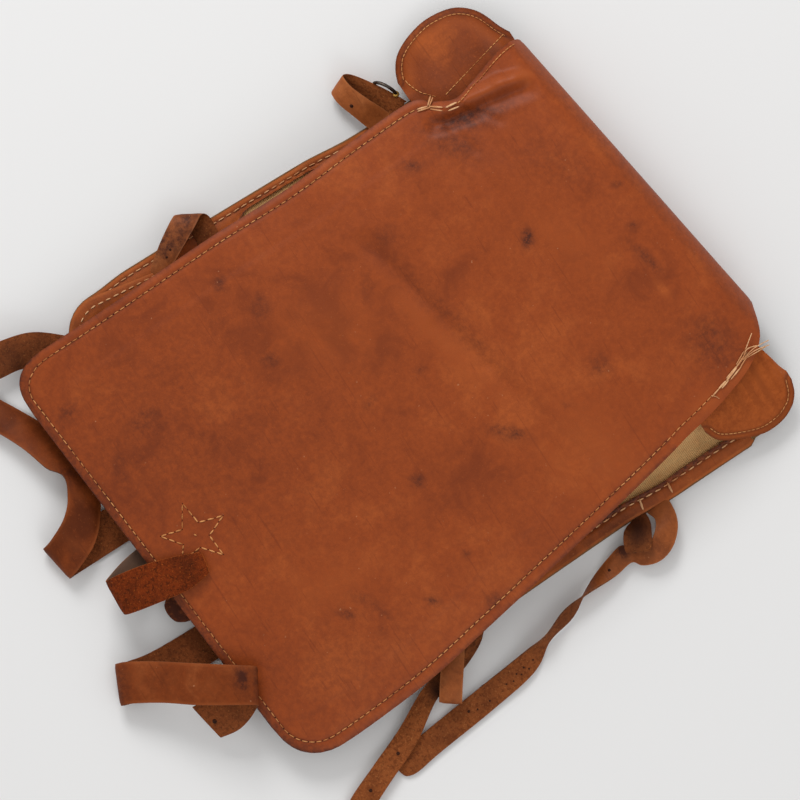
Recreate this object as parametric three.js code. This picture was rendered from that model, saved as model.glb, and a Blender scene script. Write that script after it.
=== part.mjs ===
// Leather and canvas military backpack, lying on its back with the flap closed.
// Millimetres, +Z up, +Y toward the head end, +X toward the right side seen from above.
import * as THREE from 'three';

// Driving dimensions of the bag
const HALF_WIDTH_LOW = 173;
const HALF_WIDTH_HIGH = 165;
const PANEL_BOTTOM = -197;
const PANEL_TOP = 172;
const MOUTH = 150;
const CORNER = 30;
const RACK = 0.13;
const RACK_END = 190;
const FLANGE_WIDTH = 17;
const WALL_RUN = 18;
const BAG_CROWN = 8;

// Driving dimensions of the materials
const CANVAS = 1.6;
const LEATHER = 2.2;
const FLAP_LEATHER = 2.4;
const STRAP = 2.4;
const SEAT = 0.3;
const SHOULDER_WIDTH = 28;
const SIDE_WIDTH = 18;
const TAB_WIDTH = 26;
const WIRE = 1.3;

// The shoulder straps lie flat under the back panel, which sags to the floor beside them
const BACK_RISE = STRAP + SEAT;
const RISE_FULL = 98;
const RISE_NONE = 152;

// Heights of the layers at the edge of the back panel
const FLANGE_LEVEL = CANVAS + SEAT + CANVAS / 2;
const STRIP_LEVEL = FLANGE_LEVEL + CANVAS / 2 + SEAT + LEATHER / 2;
const BAND_LEVEL = STRIP_LEVEL + LEATHER / 2 + SEAT + LEATHER / 2;
const ROOT_LEVEL = STRIP_LEVEL + LEATHER / 2 + SEAT + STRAP / 2;
const BAND_ROOT_LEVEL = BAND_LEVEL + LEATHER / 2 + SEAT + STRAP / 2;
const TAB_LEVEL = BACK_RISE + BAND_ROOT_LEVEL;

const { smoothstep, lerp, clamp, degToRad } = THREE.MathUtils;

const COLOURS = {
  canvas: { color: 0x8b7650, roughness: 0.95, metalness: 0 },
  leather: { color: 0x8f4626, roughness: 0.6, metalness: 0 },
  strap: { color: 0x6c3018, roughness: 0.7, metalness: 0 },
  iron: { color: 0x2b2622, roughness: 0.55, metalness: 0.9 },
};

const pack = new THREE.Group();

function addPiece(name, finish, geometry) {
  const mesh = new THREE.Mesh(geometry, new THREE.MeshStandardMaterial(COLOURS[finish]));
  mesh.name = name;
  pack.add(mesh);
  return mesh;
}

const backHeight = (x) => BACK_RISE * (1 - smoothstep(Math.abs(x), RISE_FULL, RISE_NONE));
const halfWidth = (y) => lerp(HALF_WIDTH_LOW, HALF_WIDTH_HIGH, smoothstep(y, PANEL_BOTTOM, PANEL_TOP));
const racked = (x, y) => y + RACK * x * clamp(y / RACK_END, 0, 1);

// A closed plate of even thickness around a grid of points on its middle surface
function plate(grid, thickness) {
  const rows = grid.length;
  const columns = grid[0].length;
  const along = new THREE.Vector3();
  const across = new THREE.Vector3();
  const positions = [];
  for (const side of [0.5, -0.5]) {
    for (let i = 0; i < rows; i += 1) {
      for (let j = 0; j < columns; j += 1) {
        along.subVectors(grid[Math.min(i + 1, rows - 1)][j], grid[Math.max(i - 1, 0)][j]);
        across.subVectors(grid[i][Math.min(j + 1, columns - 1)], grid[i][Math.max(j - 1, 0)]);
        const normal = across.clone().cross(along).normalize();
        positions.push(...grid[i][j].clone().addScaledVector(normal, side * thickness).toArray());
      }
    }
  }
  const top = (i, j) => i * columns + j;
  const under = (i, j) => rows * columns + i * columns + j;
  const indices = [];
  const face = (a, b, c, d) => indices.push(a, b, c, a, c, d);
  for (let i = 0; i < rows - 1; i += 1) {
    for (let j = 0; j < columns - 1; j += 1) {
      face(top(i, j), top(i, j + 1), top(i + 1, j + 1), top(i + 1, j));
      face(under(i, j), under(i + 1, j), under(i + 1, j + 1), under(i, j + 1));
    }
  }
  const lastRow = rows - 1;
  const lastColumn = columns - 1;
  for (let j = 0; j < lastColumn; j += 1) {
    face(top(0, j), under(0, j), under(0, j + 1), top(0, j + 1));
    face(top(lastRow, j + 1), under(lastRow, j + 1), under(lastRow, j), top(lastRow, j));
  }
  for (let i = 0; i < lastRow; i += 1) {
    face(top(i + 1, 0), under(i + 1, 0), under(i, 0), top(i, 0));
    face(top(i, lastColumn), under(i, lastColumn), under(i + 1, lastColumn), top(i + 1, lastColumn));
  }
  const geometry = new THREE.BufferGeometry();
  geometry.setAttribute('position', new THREE.Float32BufferAttribute(positions, 3));
  geometry.setIndex(indices);
  geometry.computeVertexNormals();
  return geometry;
}

// Smooth values between the rows of a table, for one named column
function column(table, name, place) {
  const last = table.length - 1;
  const step = Math.min(Math.floor(place), last - 1);
  const t = place - step;
  const value = (i) => table[clamp(i, 0, last)][name];
  const rise = (i) => (value(i + 1) - value(i - 1)) / 2;
  const spread = value(step + 1) - value(step);
  const bend = 3 * spread - 2 * rise(step) - rise(step + 1);
  const twist = rise(step) + rise(step + 1) - 2 * spread;
  return value(step) + t * (rise(step) + t * (bend + t * twist));
}

// A strap follows rows of x, y, z with the compass angle and the slope of its width,
// and never sinks below the floor
const STRAP_STEPS = 3;
function ribbon(rows, width) {
  const grid = [];
  const stations = (rows.length - 1) * STRAP_STEPS;
  for (let k = 0; k <= stations; k += 1) {
    const place = k / STRAP_STEPS;
    const compass = degToRad(column(rows, 'across', place));
    const slope = degToRad(column(rows, 'lean', place));
    const half = (width * column(rows, 'share', place)) / 2;
    const centre = new THREE.Vector3(
      column(rows, 'x', place),
      column(rows, 'y', place),
      Math.max(column(rows, 'z', place), STRAP / 2),
    );
    const side = new THREE.Vector3(
      Math.cos(compass) * Math.cos(slope),
      Math.sin(compass) * Math.cos(slope),
      Math.sin(slope),
    );
    grid.push([-half, 0, half].map((offset) => centre.clone().addScaledVector(side, offset)));
  }
  return plate(grid, STRAP);
}

// Rows of a sheet that starts with two rounded corners: distance from the edge and inset
const CORNER_STEPS = 4;
function cornerRows(radius) {
  const rows = [];
  for (let k = 0; k < CORNER_STEPS; k += 1) {
    const turn = ((k / CORNER_STEPS) * Math.PI) / 2;
    rows.push({ rise: radius * (1 - Math.cos(turn)), inset: radius * (1 - Math.sin(turn)) });
  }
  return rows;
}

// Back panel: one canvas sheet with rounded lower corners
const PANEL_COLUMNS = [-1, -0.9, -0.82, -0.74, -0.66, -0.58, 0, 0.58, 0.66, 0.74, 0.82, 0.9, 1];
const PANEL_STATIONS = [-120, -60, 0, 60, 120, PANEL_TOP];
const panelRows = cornerRows(CORNER).map((row) => ({
  y: PANEL_BOTTOM + row.rise,
  half: halfWidth(PANEL_BOTTOM) - row.inset,
}));
panelRows.push({ y: PANEL_BOTTOM + CORNER, half: halfWidth(PANEL_BOTTOM) });
PANEL_STATIONS.forEach((y) => panelRows.push({ y, half: halfWidth(y) }));
const panelGrid = panelRows.map((row) => PANEL_COLUMNS.map((share) => {
  const x = share * row.half;
  return new THREE.Vector3(x, racked(x, row.y), backHeight(x) + CANVAS / 2);
}));
addPiece('back_panel', 'canvas', plate(panelGrid, CANVAS));

// Canvas bag: a flange sewn round the panel, steep walls and a slack front, open at the head end
const FLANGE_INSET = 3;
const BAG_BOTTOM = PANEL_BOTTOM + FLANGE_INSET;
const BAG_HALF_COLUMNS = [1, 0.95, 0.9, 0.87, 0.84, 0.81, 0.78, 0.7, 0.62, 0.4];
const BAG_COLUMNS = [...BAG_HALF_COLUMNS.map((share) => -share), 0, ...BAG_HALF_COLUMNS.toReversed()];
const BAG_STATIONS = [-177, -172, -168, -164, -158, -120, -60, 0, 60, 120, MOUTH];
const BAG_DEPTH = [
  { y: -197, height: 20 },
  { y: -120, height: 24 },
  { y: -43, height: 31 },
  { y: 34, height: 32 },
  { y: 111, height: 30 },
  { y: 188, height: 24 },
];
function bagHeight(y) {
  const span = BAG_DEPTH[1].y - BAG_DEPTH[0].y;
  return column(BAG_DEPTH, 'height', clamp((y - BAG_DEPTH[0].y) / span, 0, BAG_DEPTH.length - 1));
}
function bagPoint(share, half, y) {
  const x = share * half;
  const sideWall = smoothstep(half - Math.abs(x), FLANGE_WIDTH, FLANGE_WIDTH + WALL_RUN);
  const endWall = smoothstep(y - BAG_BOTTOM, FLANGE_WIDTH, FLANGE_WIDTH + WALL_RUN);
  const front = bagHeight(y) + BAG_CROWN * (1 - share * share);
  const z = lerp(backHeight(x) + FLANGE_LEVEL, front, sideWall * endWall);
  return new THREE.Vector3(x, racked(x, y), z);
}
function bagGrid() {
  const radius = CORNER - FLANGE_INSET;
  const low = halfWidth(BAG_BOTTOM) - FLANGE_INSET;
  const rows = cornerRows(radius).map((row) => ({ y: BAG_BOTTOM + row.rise, half: low - row.inset }));
  const rounded = rows[rows.length - 1].y;
  BAG_STATIONS.filter((y) => y > rounded).forEach((y) => {
    const rise = clamp(y - BAG_BOTTOM, 0, radius);
    const inset = radius - Math.sqrt(radius * radius - (radius - rise) ** 2);
    rows.push({ y, half: halfWidth(y) - FLANGE_INSET - inset });
  });
  return rows.map((row) => BAG_COLUMNS.map((share) => bagPoint(share, row.half, row.y)));
}
addPiece('canvas_body', 'canvas', plate(bagGrid(), CANVAS));

// Leather binding along the two long sides, lying on the flange
const EDGE_SETBACK = 1;
const STRIP_SIDES = [
  { name: 'edge_strip_left', side: -1, width: 18, from: -164, to: 118 },
  { name: 'edge_strip_right', side: 1, width: 13, from: -164, to: 152.5 },
];
const STRIP_STEPS = 8;
for (const strip of STRIP_SIDES) {
  const grid = [];
  for (let k = 0; k <= STRIP_STEPS; k += 1) {
    const y = lerp(strip.from, strip.to, k / STRIP_STEPS);
    const outer = halfWidth(y) - EDGE_SETBACK;
    const edges = [outer - strip.width, outer].map((x) => strip.side * x).sort((a, b) => a - b);
    grid.push(edges.map((x) => new THREE.Vector3(x, racked(x, y), STRIP_LEVEL)));
  }
  addPiece(strip.name, 'leather', plate(grid, LEATHER));
}

// Bottom band: leather that runs up both sides from the rounded lower corners
const BAND_WIDTH = 22;
const BAND_END = -118;
const BAND_TAPER = 10;
const BAND_SIDE_STEPS = 3;
const BAND_CORNER_STEPS = 5;
const BAND_STRAIGHT_STEPS = 10;
function bandPath() {
  const half = HALF_WIDTH_LOW - EDGE_SETBACK;
  const cornerY = PANEL_BOTTOM + CORNER;
  const path = [];
  for (let k = 0; k < BAND_SIDE_STEPS; k += 1) {
    const t = k / BAND_SIDE_STEPS;
    path.push({ x: -half, y: lerp(BAND_END, cornerY, t), nx: 1, ny: 0, taper: 1 - t });
  }
  for (let k = 0; k < BAND_CORNER_STEPS; k += 1) {
    const turn = ((k / BAND_CORNER_STEPS) * Math.PI) / 2;
    const nx = Math.cos(turn);
    const ny = Math.sin(turn);
    path.push({ x: -half + CORNER * (1 - nx), y: cornerY - CORNER * ny, nx, ny, taper: 0 });
  }
  for (let k = 0; k <= BAND_STRAIGHT_STEPS / 2; k += 1) {
    const x = lerp(-half + CORNER, 0, (2 * k) / BAND_STRAIGHT_STEPS);
    path.push({ x, y: PANEL_BOTTOM, nx: 0, ny: 1, taper: 0 });
  }
  const mirrored = path.slice(0, -1).reverse().map((p) => ({ ...p, x: -p.x, nx: -p.nx }));
  return path.concat(mirrored);
}
const bandGrid = bandPath().map((p) => {
  const edge = BAND_TAPER * p.taper;
  const inner = BAND_WIDTH - edge / 2;
  return [inner, edge].map((inset) => {
    const x = p.x + p.nx * inset;
    const y = p.y + p.ny * inset;
    return new THREE.Vector3(x, y, backHeight(x) + BAND_LEVEL);
  });
});
addPiece('bottom_band', 'leather', plate(bandGrid.reverse(), LEATHER));

// Flap: rows from the free lower edge, over the bag and the head end, to the sewn hinge.
// skew turns a row in plan, left and right are its ends, and middle, low and high are the
// heights of its middle, its left end and its right end.
const FLAP_ROWS = [
  { y: -233.5, skew: 0.075, left: -158, right: 183.5, middle: 26, low: 22, high: 19 },
  { y: -203.5, skew: 0.075, left: -158.5, right: 187, middle: 32, low: 26, high: 22 },
  { y: -160, skew: 0.07, left: -159, right: 185.5, middle: 37.5, low: 30, high: 25 },
  { y: -115, skew: 0.06, left: -160.5, right: 181.5, middle: 42, low: 33, high: 28 },
  { y: -60, skew: 0.05, left: -162.5, right: 172.5, middle: 45, low: 36, high: 31 },
  { y: 0, skew: 0.05, left: -162, right: 162, middle: 46.5, low: 37, high: 33.5 },
  { y: 55, skew: 0.05, left: -162, right: 152, middle: 47, low: 38, high: 36 },
  { y: 106, skew: 0.06, left: -163, right: 141.5, middle: 47.5, low: 38.5, high: 38 },
  { y: 121, skew: 0.075, left: -155, right: 137.5, middle: 47.5, low: 38.5, high: 39 },
  { y: 138, skew: 0.09, left: -148, right: 134, middle: 48, low: 38, high: 39.5 },
  { y: 158, skew: 0.105, left: -152.5, right: 128.5, middle: 48, low: 38, high: 40 },
  { y: 180.5, skew: 0.12, left: -158.5, right: 120, middle: 47, low: 38.5, high: 40 },
  { y: 197, skew: 0.14, left: -161, right: 106.5, middle: 42, low: 38, high: 38.5 },
  { y: 206.5, skew: 0.148, left: -160, right: 87, middle: 32, low: 26, high: 28 },
  { y: 207.5, skew: 0.148, left: -156.5, right: 82, middle: 21, low: 18, high: 19 },
  { y: 200, skew: 0.142, left: -152, right: 82, middle: 11, low: 10, high: 10.5 },
  { y: 185, skew: 0.13, left: -146, right: 88, middle: 7.2, low: 7.2, high: 7.2 },
  { y: 168, skew: 0.13, left: -140, right: 90, middle: 6.1, low: 6.1, high: 6.1 },
];
const FLAP_COLUMNS = [-1, -0.94, -0.87, -0.78, -0.66, -0.5, -0.25, 0, 0.25, 0.5, 0.66, 0.78, 0.87, 0.94, 1];
// The ends droop faster than the middle, and the folds lie only on the upper rows
const EDGE_DROP_POWER = 2.6;
const FLAP_FOLD_ROW = 12;
// Folds in the flap: a ridge or valley along a line in plan, with its height and half breadth
const FLAP_FOLDS = [
  { name: 'ear ridge', fromX: -147, fromY: 110, toX: -133, toY: 186, height: 4.5, breadth: 9 },
  { name: 'ear valley', fromX: -140, fromY: 102, toX: -125, toY: 172, height: -4, breadth: 10 },
  { name: 'cross crease', fromX: -96, fromY: 16, toX: 136, toY: 65, height: -1.6, breadth: 14 },
];
function foldHeight(x, y) {
  let total = 0;
  for (const fold of FLAP_FOLDS) {
    const dx = fold.toX - fold.fromX;
    const dy = fold.toY - fold.fromY;
    const t = clamp(((x - fold.fromX) * dx + (y - fold.fromY) * dy) / (dx * dx + dy * dy), 0, 1);
    const away = Math.hypot(x - fold.fromX - t * dx, y - fold.fromY - t * dy);
    total += fold.height * (1 - smoothstep(away, 0, fold.breadth));
  }
  return total;
}
function flapRow(place, inset) {
  const left = column(FLAP_ROWS, 'left', place) + inset;
  const right = column(FLAP_ROWS, 'right', place) - inset;
  const middle = column(FLAP_ROWS, 'middle', place);
  const onTop = place < FLAP_FOLD_ROW;
  return FLAP_COLUMNS.map((share) => {
    const x = lerp(left, right, (share + 1) / 2);
    const y = column(FLAP_ROWS, 'y', place) + column(FLAP_ROWS, 'skew', place) * x;
    const edge = column(FLAP_ROWS, share < 0 ? 'low' : 'high', place);
    const z = lerp(middle, edge, Math.abs(share) ** EDGE_DROP_POWER);
    return new THREE.Vector3(x, y, z + (onTop ? foldHeight(x, y) : 0));
  });
}
const flapGrid = cornerRows(CORNER).map((row) => flapRow(row.rise / CORNER, row.inset));
for (let k = 1; k < FLAP_ROWS.length; k += 1) {
  flapGrid.push(flapRow(k, 0));
}
addPiece('flap', 'leather', plate(flapGrid, FLAP_LEATHER));

// Ears: rounded leather lobes sewn under the flap's upper sides, drooping outward.
// Each row runs from the seam to the free edge.
const EAR_COLUMNS = [0, 0.2, 0.45, 0.72, 1];
const EARS = [
  {
    name: 'ear_left',
    rows: [
      { y: 97, seam: -166, edge: -180, seamHeight: 28, edgeHeight: 18 },
      { y: 101, seam: -157, edge: -189, seamHeight: 30.5, edgeHeight: 15 },
      { y: 108, seam: -152, edge: -197, seamHeight: 32, edgeHeight: 13 },
      { y: 120, seam: -145, edge: -203, seamHeight: 34, edgeHeight: 11 },
      { y: 136, seam: -143, edge: -206.5, seamHeight: 34, edgeHeight: 10 },
      { y: 152, seam: -146, edge: -205, seamHeight: 34.6, edgeHeight: 10 },
      { y: 163, seam: -150, edge: -200, seamHeight: 35, edgeHeight: 11 },
      { y: 172, seam: -154, edge: -190, seamHeight: 33.6, edgeHeight: 14 },
      { y: 178, seam: -158, edge: -175, seamHeight: 28.2, edgeHeight: 20 },
      { y: 182, seam: -161, edge: -167.5, seamHeight: 23.6, edgeHeight: 21.4 },
    ],
  },
  {
    name: 'ear_right',
    rows: [
      { y: 144, seam: 133, edge: 142, seamHeight: 37.1, edgeHeight: 31 },
      { y: 149, seam: 130, edge: 151.5, seamHeight: 37.1, edgeHeight: 24 },
      { y: 162, seam: 125, edge: 159, seamHeight: 37.1, edgeHeight: 17 },
      { y: 179, seam: 118, edge: 165, seamHeight: 36.6, edgeHeight: 13 },
      { y: 194, seam: 111, edge: 164.5, seamHeight: 36, edgeHeight: 12 },
      { y: 205, seam: 108, edge: 160, seamHeight: 34.4, edgeHeight: 13 },
      { y: 212, seam: 116, edge: 152, seamHeight: 30, edgeHeight: 15 },
      { y: 215, seam: 128, edge: 142, seamHeight: 23.6, edgeHeight: 18 },
    ],
  },
];
const EAR_DROOP_POWER = 1.5;
for (const ear of EARS) {
  const grid = ear.rows.map((row) => {
    const points = EAR_COLUMNS.map((share) => new THREE.Vector3(
      lerp(row.seam, row.edge, share),
      row.y,
      lerp(row.seamHeight, row.edgeHeight, share ** EAR_DROOP_POWER),
    ));
    return row.edge < row.seam ? points.reverse() : points;
  });
  addPiece(ear.name, 'leather', plate(grid, LEATHER));
}

// Straps: each row is a station, with share the part of the full width there.
// The shoulder straps start sewn under the back panel and come out below the bag.
const FLOOR_LEVEL = STRAP / 2;
addPiece('shoulder_strap_left', 'strap', ribbon([
  { x: -34, y: 150, z: FLOOR_LEVEL, across: 0, lean: 0, share: 1 },
  { x: -31, y: 0, z: FLOOR_LEVEL, across: 0, lean: 0, share: 1 },
  { x: -28, y: -150, z: FLOOR_LEVEL, across: 0, lean: 0, share: 1 },
  { x: -28, y: -255, z: FLOOR_LEVEL, across: 4, lean: 0, share: 1 },
  { x: -28, y: -280, z: 2, across: 9, lean: 0, share: 1 },
  { x: -28, y: -287, z: 7.5, across: 9, lean: 0, share: 1 },
  { x: -30, y: -279, z: 13.5, across: 11, lean: 0, share: 1 },
  { x: -38, y: -262, z: 14.5, across: 17, lean: -4, share: 1 },
  { x: -50, y: -250, z: 13, across: 22, lean: -14, share: 1 },
  { x: -68, y: -241, z: 11.5, across: 42, lean: -24, share: 1 },
  { x: -90, y: -245, z: 10, across: 95, lean: -32, share: 1 },
  { x: -112.5, y: -253, z: 8, across: 130, lean: -28, share: 0.92 },
  { x: -135, y: -264, z: 6.5, across: 147, lean: -18, share: 0.9 },
  { x: -154, y: -275, z: 5.5, across: 147, lean: -6, share: 0.95 },
  { x: -166, y: -279, z: 12, across: 147, lean: 6, share: 1 },
  { x: -171, y: -262, z: 17.5, across: 147, lean: 10, share: 1 },
  { x: -169, y: -241.5, z: 16, across: 147, lean: 14, share: 0.96 },
  { x: -164.5, y: -223, z: 13.5, across: 138, lean: 14, share: 0.94 },
  { x: -153.5, y: -209.5, z: 12, across: 128, lean: 4, share: 1 },
  { x: -140, y: -196, z: 10.5, across: 120, lean: 0, share: 1 },
], SHOULDER_WIDTH));
addPiece('shoulder_strap_right', 'strap', ribbon([
  { x: 70, y: 150, z: FLOOR_LEVEL, across: 0, lean: 0, share: 1 },
  { x: 73, y: 0, z: FLOOR_LEVEL, across: 0, lean: 0, share: 1 },
  { x: 76, y: -150, z: FLOOR_LEVEL, across: 0, lean: 0, share: 1 },
  { x: 75, y: -255, z: FLOOR_LEVEL, across: -6, lean: 0, share: 1 },
  { x: 70, y: -289, z: 2.2, across: -22, lean: 0, share: 1.04 },
  { x: 67, y: -297, z: 9.5, across: -25, lean: 0, share: 1.06 },
  { x: 70, y: -289, z: 16.5, across: -24, lean: 0, share: 1.06 },
  { x: 81, y: -271, z: 23, across: -22, lean: 0, share: 1.06 },
  { x: 96, y: -250, z: 32, across: -26, lean: 0, share: 1.06 },
  { x: 112, y: -226, z: 40, across: -30, lean: 0, share: 1 },
  { x: 119.5, y: -215.5, z: 38, across: -31, lean: 0, share: 0.98 },
  { x: 120.5, y: -217.5, z: 32.5, across: -27, lean: 0, share: 0.98 },
  { x: 123, y: -227.5, z: 28.5, across: -16, lean: 0, share: 1 },
  { x: 124.5, y: -243.5, z: 21, across: 0, lean: 0, share: 1.04 },
  { x: 122.5, y: -259.5, z: 14, across: 10, lean: 0, share: 1.05 },
], SHOULDER_WIDTH));

// Closing strap: comes out under the flap's lower edge and folds back over it, rough side up
addPiece('closing_strap', 'strap', ribbon([
  { x: 3, y: -190, z: TAB_LEVEL, across: 0, lean: 0, share: 0.9 },
  { x: 4.5, y: -215, z: 13, across: 4, lean: 0, share: 0.9 },
  { x: 8, y: -244, z: 14, across: 2, lean: 0, share: 0.9 },
  { x: 12, y: -261, z: 17, across: -3, lean: 0, share: 0.9 },
  { x: 14.5, y: -265, z: 23.5, across: -4, lean: 0, share: 0.94 },
  { x: 16, y: -258, z: 29.5, across: -6, lean: 0, share: 1.02 },
  { x: 20, y: -238, z: 33.5, across: -8, lean: 0, share: 1.02 },
  { x: 25.5, y: -215, z: 36, across: -10, lean: 0, share: 0.88 },
  { x: 28, y: -198, z: 38, across: -11, lean: 0, share: 0.55 },
], SHOULDER_WIDTH));

// Bottom tab: a short rounded end under the flap's lower edge
addPiece('bottom_tab', 'strap', ribbon([
  { x: 42, y: -178, z: TAB_LEVEL, across: 0, lean: 0, share: 1 },
  { x: 43.5, y: -205, z: TAB_LEVEL, across: 2, lean: 0, share: 1 },
  { x: 44.5, y: -230, z: 11.5, across: 4, lean: 0, share: 0.95 },
  { x: 45, y: -241, z: 10.5, across: 4, lean: 0, share: 0.45 },
], TAB_WIDTH));

// Side straps: narrow straps sewn to the leather binding, two on each side
addPiece('side_strap_left_upper', 'strap', ribbon([
  { x: -153, y: 74, z: ROOT_LEVEL, across: 98, lean: 0, share: 1 },
  { x: -164, y: 72, z: 9, across: 100, lean: 8, share: 1 },
  { x: -178, y: 66.5, z: 13.5, across: 106, lean: 28, share: 1 },
  { x: -192, y: 61.5, z: 15, across: 111, lean: 34, share: 1 },
  { x: -200, y: 60.5, z: 14.5, across: 112, lean: 36, share: 1 },
  { x: -203, y: 61.5, z: 11.2, across: 112, lean: 38, share: 1 },
  { x: -200.5, y: 65, z: 8, across: 110, lean: 40, share: 1 },
  { x: -191, y: 71, z: 8, across: 106, lean: 42, share: 0.95 },
  { x: -176, y: 80, z: 9.5, across: 104, lean: 40, share: 0.9 },
], SIDE_WIDTH));
addPiece('side_strap_left_lower', 'strap', ribbon([
  { x: -160, y: -74, z: ROOT_LEVEL, across: 88, lean: 0, share: 0.9 },
  { x: -172, y: -73, z: ROOT_LEVEL, across: 80, lean: 0, share: 0.95 },
  { x: -180, y: -74, z: 10, across: 66, lean: 0, share: 1 },
  { x: -182.5, y: -77, z: 14.5, across: 56, lean: 0, share: 1 },
  { x: -179.5, y: -83, z: 18, across: 48, lean: 4, share: 1 },
  { x: -171, y: -98, z: 19, across: 40, lean: 6, share: 0.9 },
  { x: -164, y: -110, z: 18.5, across: 36, lean: 4, share: 0.75 },
  { x: -160.5, y: -119, z: 18, across: 32, lean: 2, share: 0.45 },
], SIDE_WIDTH));
addPiece('side_strap_right_upper', 'strap', ribbon([
  { x: 165.8, y: 88.5, z: STRIP_LEVEL, across: 91, lean: 0, share: 1 },
  { x: 177.2, y: 88.9, z: 8, across: 70, lean: 0, share: 0.85 },
  { x: 185, y: 84.3, z: 11, across: 60, lean: -6, share: 0.9 },
  { x: 191.5, y: 76.2, z: 12, across: 38, lean: -10, share: 0.9 },
  { x: 193.5, y: 67.2, z: 11, across: 8, lean: -10, share: 0.85 },
  { x: 190, y: 58, z: 8.5, across: -8, lean: -6, share: 0.8 },
  { x: 184, y: 51.5, z: 6, across: 2, lean: 0, share: 0.8 },
  { x: 186.5, y: 37.5, z: 6, across: 2, lean: 20, share: 0.75 },
  { x: 191, y: 15, z: 7.4, across: 16, lean: 76, share: 0.6 },
  { x: 197, y: -5, z: 7.4, across: 18, lean: 130, share: 0.66 },
  { x: 203.5, y: -27, z: 7.6, across: 16, lean: 112, share: 0.66 },
  { x: 211, y: -50, z: 4.6, across: 10, lean: 165, share: 0.9 },
  { x: 216, y: -88, z: 1.8, across: 8, lean: 178, share: 1 },
  { x: 221, y: -135, z: 1.4, across: 10, lean: 180, share: 1 },
  { x: 224.5, y: -157, z: 1.4, across: 12, lean: 180, share: 0.95 },
  { x: 226, y: -165, z: 1.4, across: 12, lean: 180, share: 0.5 },
], SIDE_WIDTH));
// Side keeper: a short band that wraps the knot of the upper right strap
addPiece('side_keeper_right', 'strap', ribbon([
  { x: 167, y: 72.5, z: STRIP_LEVEL, across: 91, lean: 0, share: 0.7 },
  { x: 171.5, y: 70, z: 10, across: 66, lean: 0, share: 0.95 },
  { x: 176, y: 66, z: 15.5, across: 58, lean: 0, share: 1.1 },
  { x: 181.5, y: 62.5, z: 16.5, across: 62, lean: 0, share: 1.1 },
  { x: 185.8, y: 60, z: 16.3, across: 62, lean: 4, share: 1 },
  { x: 187.6, y: 59, z: 14.2, across: 62, lean: 6, share: 0.85 },
], SIDE_WIDTH));
addPiece('side_strap_right_lower', 'strap', ribbon([
  { x: 157, y: -59.5, z: ROOT_LEVEL, across: 75, lean: 0, share: 0.7 },
  { x: 166, y: -62.5, z: 9.5, across: 62, lean: 0, share: 0.65 },
  { x: 174.5, y: -71, z: 12.5, across: 44, lean: -12, share: 0.75 },
  { x: 180.5, y: -84, z: 10.5, across: 20, lean: -12, share: 0.8 },
  { x: 186, y: -98, z: 9, across: 12, lean: -4, share: 0.72 },
  { x: 192, y: -119, z: 7.5, across: 24, lean: 0, share: 0.7 },
  { x: 208, y: -147, z: 4.6, across: 24, lean: 0, share: 0.88 },
  { x: 220, y: -176, z: 5, across: 26, lean: 0, share: 0.92 },
  { x: 230, y: -200, z: 4, across: 28, lean: 0, share: 0.92 },
  { x: 234, y: -211, z: 3, across: 28, lean: 0, share: 0.5 },
], SIDE_WIDTH));
// Side loop: a short keeper that the lower right strap passes through
addPiece('side_loop_right', 'strap', ribbon([
  { x: 160, y: -82, z: 16.5, across: 68, lean: 0, share: 0.9 },
  { x: 174, y: -87, z: 17, across: 62, lean: 0, share: 0.9 },
  { x: 192, y: -100, z: 17.5, across: 55, lean: 0, share: 0.9 },
  { x: 202, y: -107, z: 15.5, across: 54, lean: 0, share: 0.9 },
  { x: 204, y: -108.3, z: 9, across: 54, lean: 0, share: 0.9 },
  { x: 199.5, y: -105.4, z: 2.8, across: 54, lean: 0, share: 0.9 },
  { x: 190, y: -99, z: 1.3, across: 55, lean: 0, share: 0.85 },
  { x: 178, y: -91, z: 1.3, across: 58, lean: 0, share: 0.8 },
], SIDE_WIDTH));

// Buckle: a dark iron wire oval that stands on the left upper side strap
const BUCKLE_RADIUS = 8.5;
const BUCKLE_STRETCH = 0.7;
const BUCKLE_WIRE_SIDES = 6;
const BUCKLE_STEPS = 16;
const BUCKLE_PLACE = new THREE.Vector3(-181.5, 87, 14);
const BUCKLE_TILT = 66;
const BUCKLE_HEADING = 29;
const BUCKLE_TURN = new THREE.Euler(degToRad(BUCKLE_TILT), 0, degToRad(BUCKLE_HEADING));
const buckle = addPiece(
  'buckle',
  'iron',
  new THREE.TorusGeometry(BUCKLE_RADIUS, WIRE, BUCKLE_WIRE_SIDES, BUCKLE_STEPS).scale(1, BUCKLE_STRETCH, 1),
);
buckle.position.copy(BUCKLE_PLACE);
buckle.rotation.copy(BUCKLE_TURN);

// The origin is the middle of the lowest face of the whole pack's box
pack.updateMatrixWorld(true);
const bounds = new THREE.Box3().setFromObject(pack, true);
const centre = bounds.getCenter(new THREE.Vector3());
pack.position.set(-centre.x, -centre.y, -bounds.min.z);

export default pack;
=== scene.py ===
import math
import random

import bmesh
import bpy
from mathutils import Matrix, Vector, noise


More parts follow.
